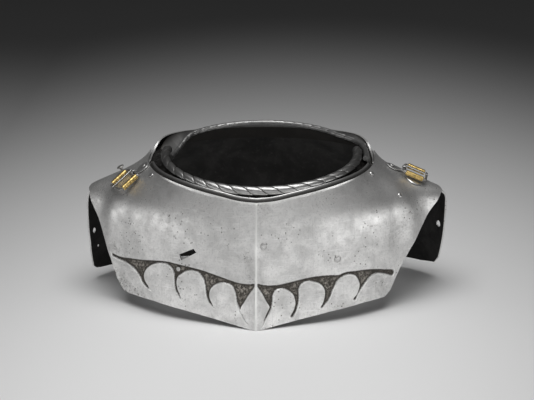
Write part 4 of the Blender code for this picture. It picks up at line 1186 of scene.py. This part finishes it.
class GorgetFinishSettings(bpy.types.PropertyGroup):
    """Colours of the metals."""

    steel: FloatVectorProperty(name="Steel", description="Colour of the satin steel", subtype="COLOR",
                               default=(0.76, 0.755, 0.745), min=0.0, max=1.0)
    inner: FloatVectorProperty(name="Inner face", description="Colour of the plates' inner faces",
                               subtype="COLOR", default=(0.02, 0.019, 0.018), min=0.0, max=1.0)
    dark: FloatVectorProperty(name="Dark steel", description="Colour of the hasps and buckle frames",
                              subtype="COLOR", default=(0.2, 0.19, 0.18), min=0.0, max=1.0)
    brass: FloatVectorProperty(name="Brass", description="Colour of the rollers", subtype="COLOR",
                               default=(0.86, 0.62, 0.24), min=0.0, max=1.0)
    roughness: FloatProperty(name="Roughness", description="Roughness of the satin steel", default=0.42,
                             min=0.05, max=1.0, subtype="FACTOR")


class GorgetStageSettings(bpy.types.PropertyGroup):
    """Camera, light and floor."""

    azimuth: FloatProperty(name="Azimuth", default=3.0,
                           description="How far the camera stands to the right, in degrees")
    elevation: FloatProperty(name="Elevation", default=16.0,
                             description="How far the camera looks down, in degrees")
    roll: FloatProperty(name="Roll", description="How far the camera leans, in degrees", default=-0.45)
    distance: FloatProperty(name="Distance", description="Distance of the camera", default=1.9, min=0.3,
                            unit="LENGTH")
    lens: FloatProperty(name="Lens", description="Focal length in millimetres", default=149.2, min=10.0)
    floor: FloatVectorProperty(name="Floor", description="Colour of the floor near the object",
                               subtype="COLOR", default=(0.81, 0.81, 0.81), min=0.0, max=1.0)
    key: FloatProperty(name="Light", description="Strength of the soft lights", default=1.0, min=0.0)


def finishes(scene):
    """Every finish, made once and kept by name."""
    colours = scene.gorget_finish
    steel = tuple(colours.steel)
    makers = {
        "plate": lambda n: steel_finish(n, steel, colours.roughness, plate_marks=True),
        "rope": lambda n: steel_finish(n, steel, colours.roughness - 0.08, notch=True, dark=0.62),
        # The back rim is a darker copy of the steel: painted shade for its inward face, which sits in shadow.
        "rim": lambda n: steel_finish(n, steel, colours.roughness - 0.04, notch=True, dark=0.42),
        "rivet": lambda n: steel_finish(n, steel, colours.roughness - 0.08, dark=0.9),
        "dark": lambda n: steel_finish(n, tuple(colours.dark), colours.roughness),
        "hasp": lambda n: steel_finish(n, steel, colours.roughness - 0.05, dark=0.8),
        "inside": lambda n: inside_finish(n, tuple(colours.inner)),
        "brass": lambda n: brass_finish(n, tuple(colours.brass)),
    }
    names = {"plate": "satin_steel", "rope": "roped_steel", "rim": "rim_steel", "rivet": "rivet_steel",
             "dark": "dark_steel", "hasp": "hasp_steel", "inside": "unpolished_inside", "brass": "worn_brass"}
    return {k: bpy.data.materials.get(names[k]) or makers[k](names[k]) for k in makers}


class GORGET_OT_front_plate(bpy.types.Operator):
    """Front plate with its ridge, scalloped band, lip and slot"""

    bl_idname = "gorget.front_plate"
    bl_label = "Front plate"

    def execute(self, context):
        make_front_plate(context.scene.gorget_plate, finishes(context.scene))
        return {"FINISHED"}


class GORGET_OT_back_plate(bpy.types.Operator):
    """Back plate with its side strips and holes"""

    bl_idname = "gorget.back_plate"
    bl_label = "Back plate"

    def execute(self, context):
        make_back_plate(context.scene.gorget_plate, finishes(context.scene))
        return {"FINISHED"}


class GORGET_OT_collars(bpy.types.Operator):
    """Roped front collar, back collar and neck lame"""

    bl_idname = "gorget.collars"
    bl_label = "Collars and neck lame"

    def execute(self, context):
        settings, made = context.scene.gorget_collar, finishes(context.scene)
        make_front_collar(settings, made)
        make_back_collar(settings, made)
        make_neck_lame(settings, made)
        return {"FINISHED"}


class GORGET_OT_rivets(bpy.types.Operator):
    """Rivets, shoulder pivot and closing stud"""

    bl_idname = "gorget.rivets"
    bl_label = "Rivets, pivot and stud"

    def execute(self, context):
        make_rivets(context.scene.gorget_plate, finishes(context.scene))
        return {"FINISHED"}


class GORGET_OT_fittings(bpy.types.Operator):
    """Hasps and buckles with their brass rollers"""

    bl_idname = "gorget.fittings"
    bl_label = "Hasps and buckles"

    def execute(self, context):
        made = finishes(context.scene)
        for fitting in FITTINGS:
            make_hasp(fitting, made)
            make_buckle(fitting, made)
        return {"FINISHED"}


def soft_light(name, place, target, size, power):
    """A soft light with a rectangular face that looks at a target."""
    light = bpy.data.lights.new(name, "AREA")
    light.shape = "RECTANGLE"
    light.size, light.size_y = size
    light.energy = power
    obj = bpy.data.objects.new(name, light)
    bpy.context.scene.collection.objects.link(obj)
    obj.location = place
    obj.rotation_euler = (Vector(target) - Vector(place)).to_track_quat("-Z", "Y").to_euler()


def floor_finish(colour):
    """Pale floor with a painted pool of light: its colour darkens with distance, but to the sides only as far
    as POOL_SIDE.
    """
    floor = Finish("floor_painted_light_pool")
    pool = floor.tree.nodes.new("ShaderNodeMapping")
    pool.inputs["Location"].default_value = POOL_SHIFT
    pool.inputs["Scale"].default_value = POOL_STRETCH
    floor.tree.links.new(floor.place, pool.inputs["Vector"])
    either = floor.tree.nodes.new("ShaderNodeVectorMath")
    either.operation = "ABSOLUTE"
    floor.tree.links.new(pool.outputs["Vector"], either.inputs[0])
    near = floor.tree.nodes.new("ShaderNodeVectorMath")
    near.operation = "MINIMUM"
    near.inputs[1].default_value = (POOL_SIDE, 100, 100)
    floor.tree.links.new(either.outputs["Vector"], near.inputs[0])
    far = floor.tree.nodes.new("ShaderNodeVectorMath")
    far.operation = "LENGTH"
    floor.tree.links.new(near.outputs["Vector"], far.inputs[0])
    # Painted pool of light: the floor's colour darkens away from it, as the light falls off.
    share = floor.ramp(far.outputs["Value"], POOL_NEAR, POOL_FAR)
    floor.set(Base_Color=floor.mix(share, colour, shade(colour, 0.05)), Roughness=0.9)
    floor.shader.inputs["Specular IOR Level"].default_value = 0.1
    return floor.material


class GORGET_OT_stage(bpy.types.Operator):
    """Floor, soft lights and camera"""

    bl_idname = "gorget.stage"
    bl_label = "Stage"

    def execute(self, context):
        settings = context.scene.gorget_stage
        bpy.ops.mesh.primitive_plane_add(size=12, location=(0, 0, -0.0002))
        floor = context.object
        floor.name = "floor"
        floor.data.materials.append(floor_finish(tuple(settings.floor)))

        middle = (0, 0, 0.06)
        power = settings.key
        soft_light("left_softbox", (-1.85, -0.95, 0.2), middle, (2.0, 0.3), 6 * power)
        soft_light("right_softbox", (1.8, -1.05, 0.2), middle, (2.0, 0.3), 7.5 * power)
        soft_light("front_softbox", (0.1, -2.6, 0.33), middle, (2.0, 0.5), 6.3 * power)
        soft_light("top_softbox", (0, -0.5, 2.1), middle, (1.8, 1.8), 40 * power)

        world = bpy.data.worlds.new("studio")
        context.scene.world = world
        world.use_nodes = True
        backdrop = world.node_tree.nodes["Background"]
        backdrop.inputs["Color"].default_value = (0.5, 0.5, 0.5, 1)
        backdrop.inputs["Strength"].default_value = 0.16 * power

        camera = bpy.data.cameras.new("camera")
        camera.lens = settings.lens
        camera.sensor_width = 36
        obj = bpy.data.objects.new("camera", camera)
        context.scene.collection.objects.link(obj)
        a, e = math.radians(settings.azimuth), math.radians(settings.elevation)
        back = Vector((math.sin(a) * math.cos(e), -math.cos(a) * math.cos(e), math.sin(e)))
        target = Vector((0.0044, 0.0, 0.0806)) - Vector(MIDDLE)
        obj.location = target + back * settings.distance
        turn = (-back).to_track_quat("-Z", "Y").to_matrix().to_4x4()
        lean = Matrix.Rotation(math.radians(settings.roll), 4, "Z")
        obj.rotation_euler = (turn @ lean).to_euler()
        context.scene.camera = obj
        context.scene.view_settings.view_transform = "Standard"
        return {"FINISHED"}


class GORGET_PT_parts(bpy.types.Panel):
    """Lists the gorget's pieces and their settings"""

    bl_label = "Steel gorget"
    bl_idname = "GORGET_PT_parts"
    bl_space_type = "VIEW_3D"
    bl_region_type = "UI"
    bl_category = "Gorget"

    def draw(self, context):
        for group in GROUPS:
            settings = getattr(context.scene, group)
            box = self.layout.box()
            for name in type(settings).__annotations__:
                box.prop(settings, name)
        for operator in OPERATORS:
            self.layout.operator(operator.bl_idname)


OPERATORS = (GORGET_OT_front_plate, GORGET_OT_back_plate, GORGET_OT_collars, GORGET_OT_rivets,
             GORGET_OT_fittings, GORGET_OT_stage)
GROUPS = {
    "gorget_plate": GorgetPlateSettings,
    "gorget_collar": GorgetCollarSettings,
    "gorget_finish": GorgetFinishSettings,
    "gorget_stage": GorgetStageSettings,
}


def register():
    for group in (*GROUPS.values(), *OPERATORS, GORGET_PT_parts):
        bpy.utils.register_class(group)
    for name, group in GROUPS.items():
        setattr(bpy.types.Scene, name, PointerProperty(type=group))


def unregister():
    for name in GROUPS:
        delattr(bpy.types.Scene, name)
    for group in reversed((*GROUPS.values(), *OPERATORS, GORGET_PT_parts)):
        bpy.utils.unregister_class(group)


def main():
    register()
    bpy.ops.gorget.front_plate()
    bpy.ops.gorget.back_plate()
    bpy.ops.gorget.collars()
    bpy.ops.gorget.rivets()
    bpy.ops.gorget.fittings()
    bpy.ops.gorget.stage()


if __name__ == "__main__":
    main()
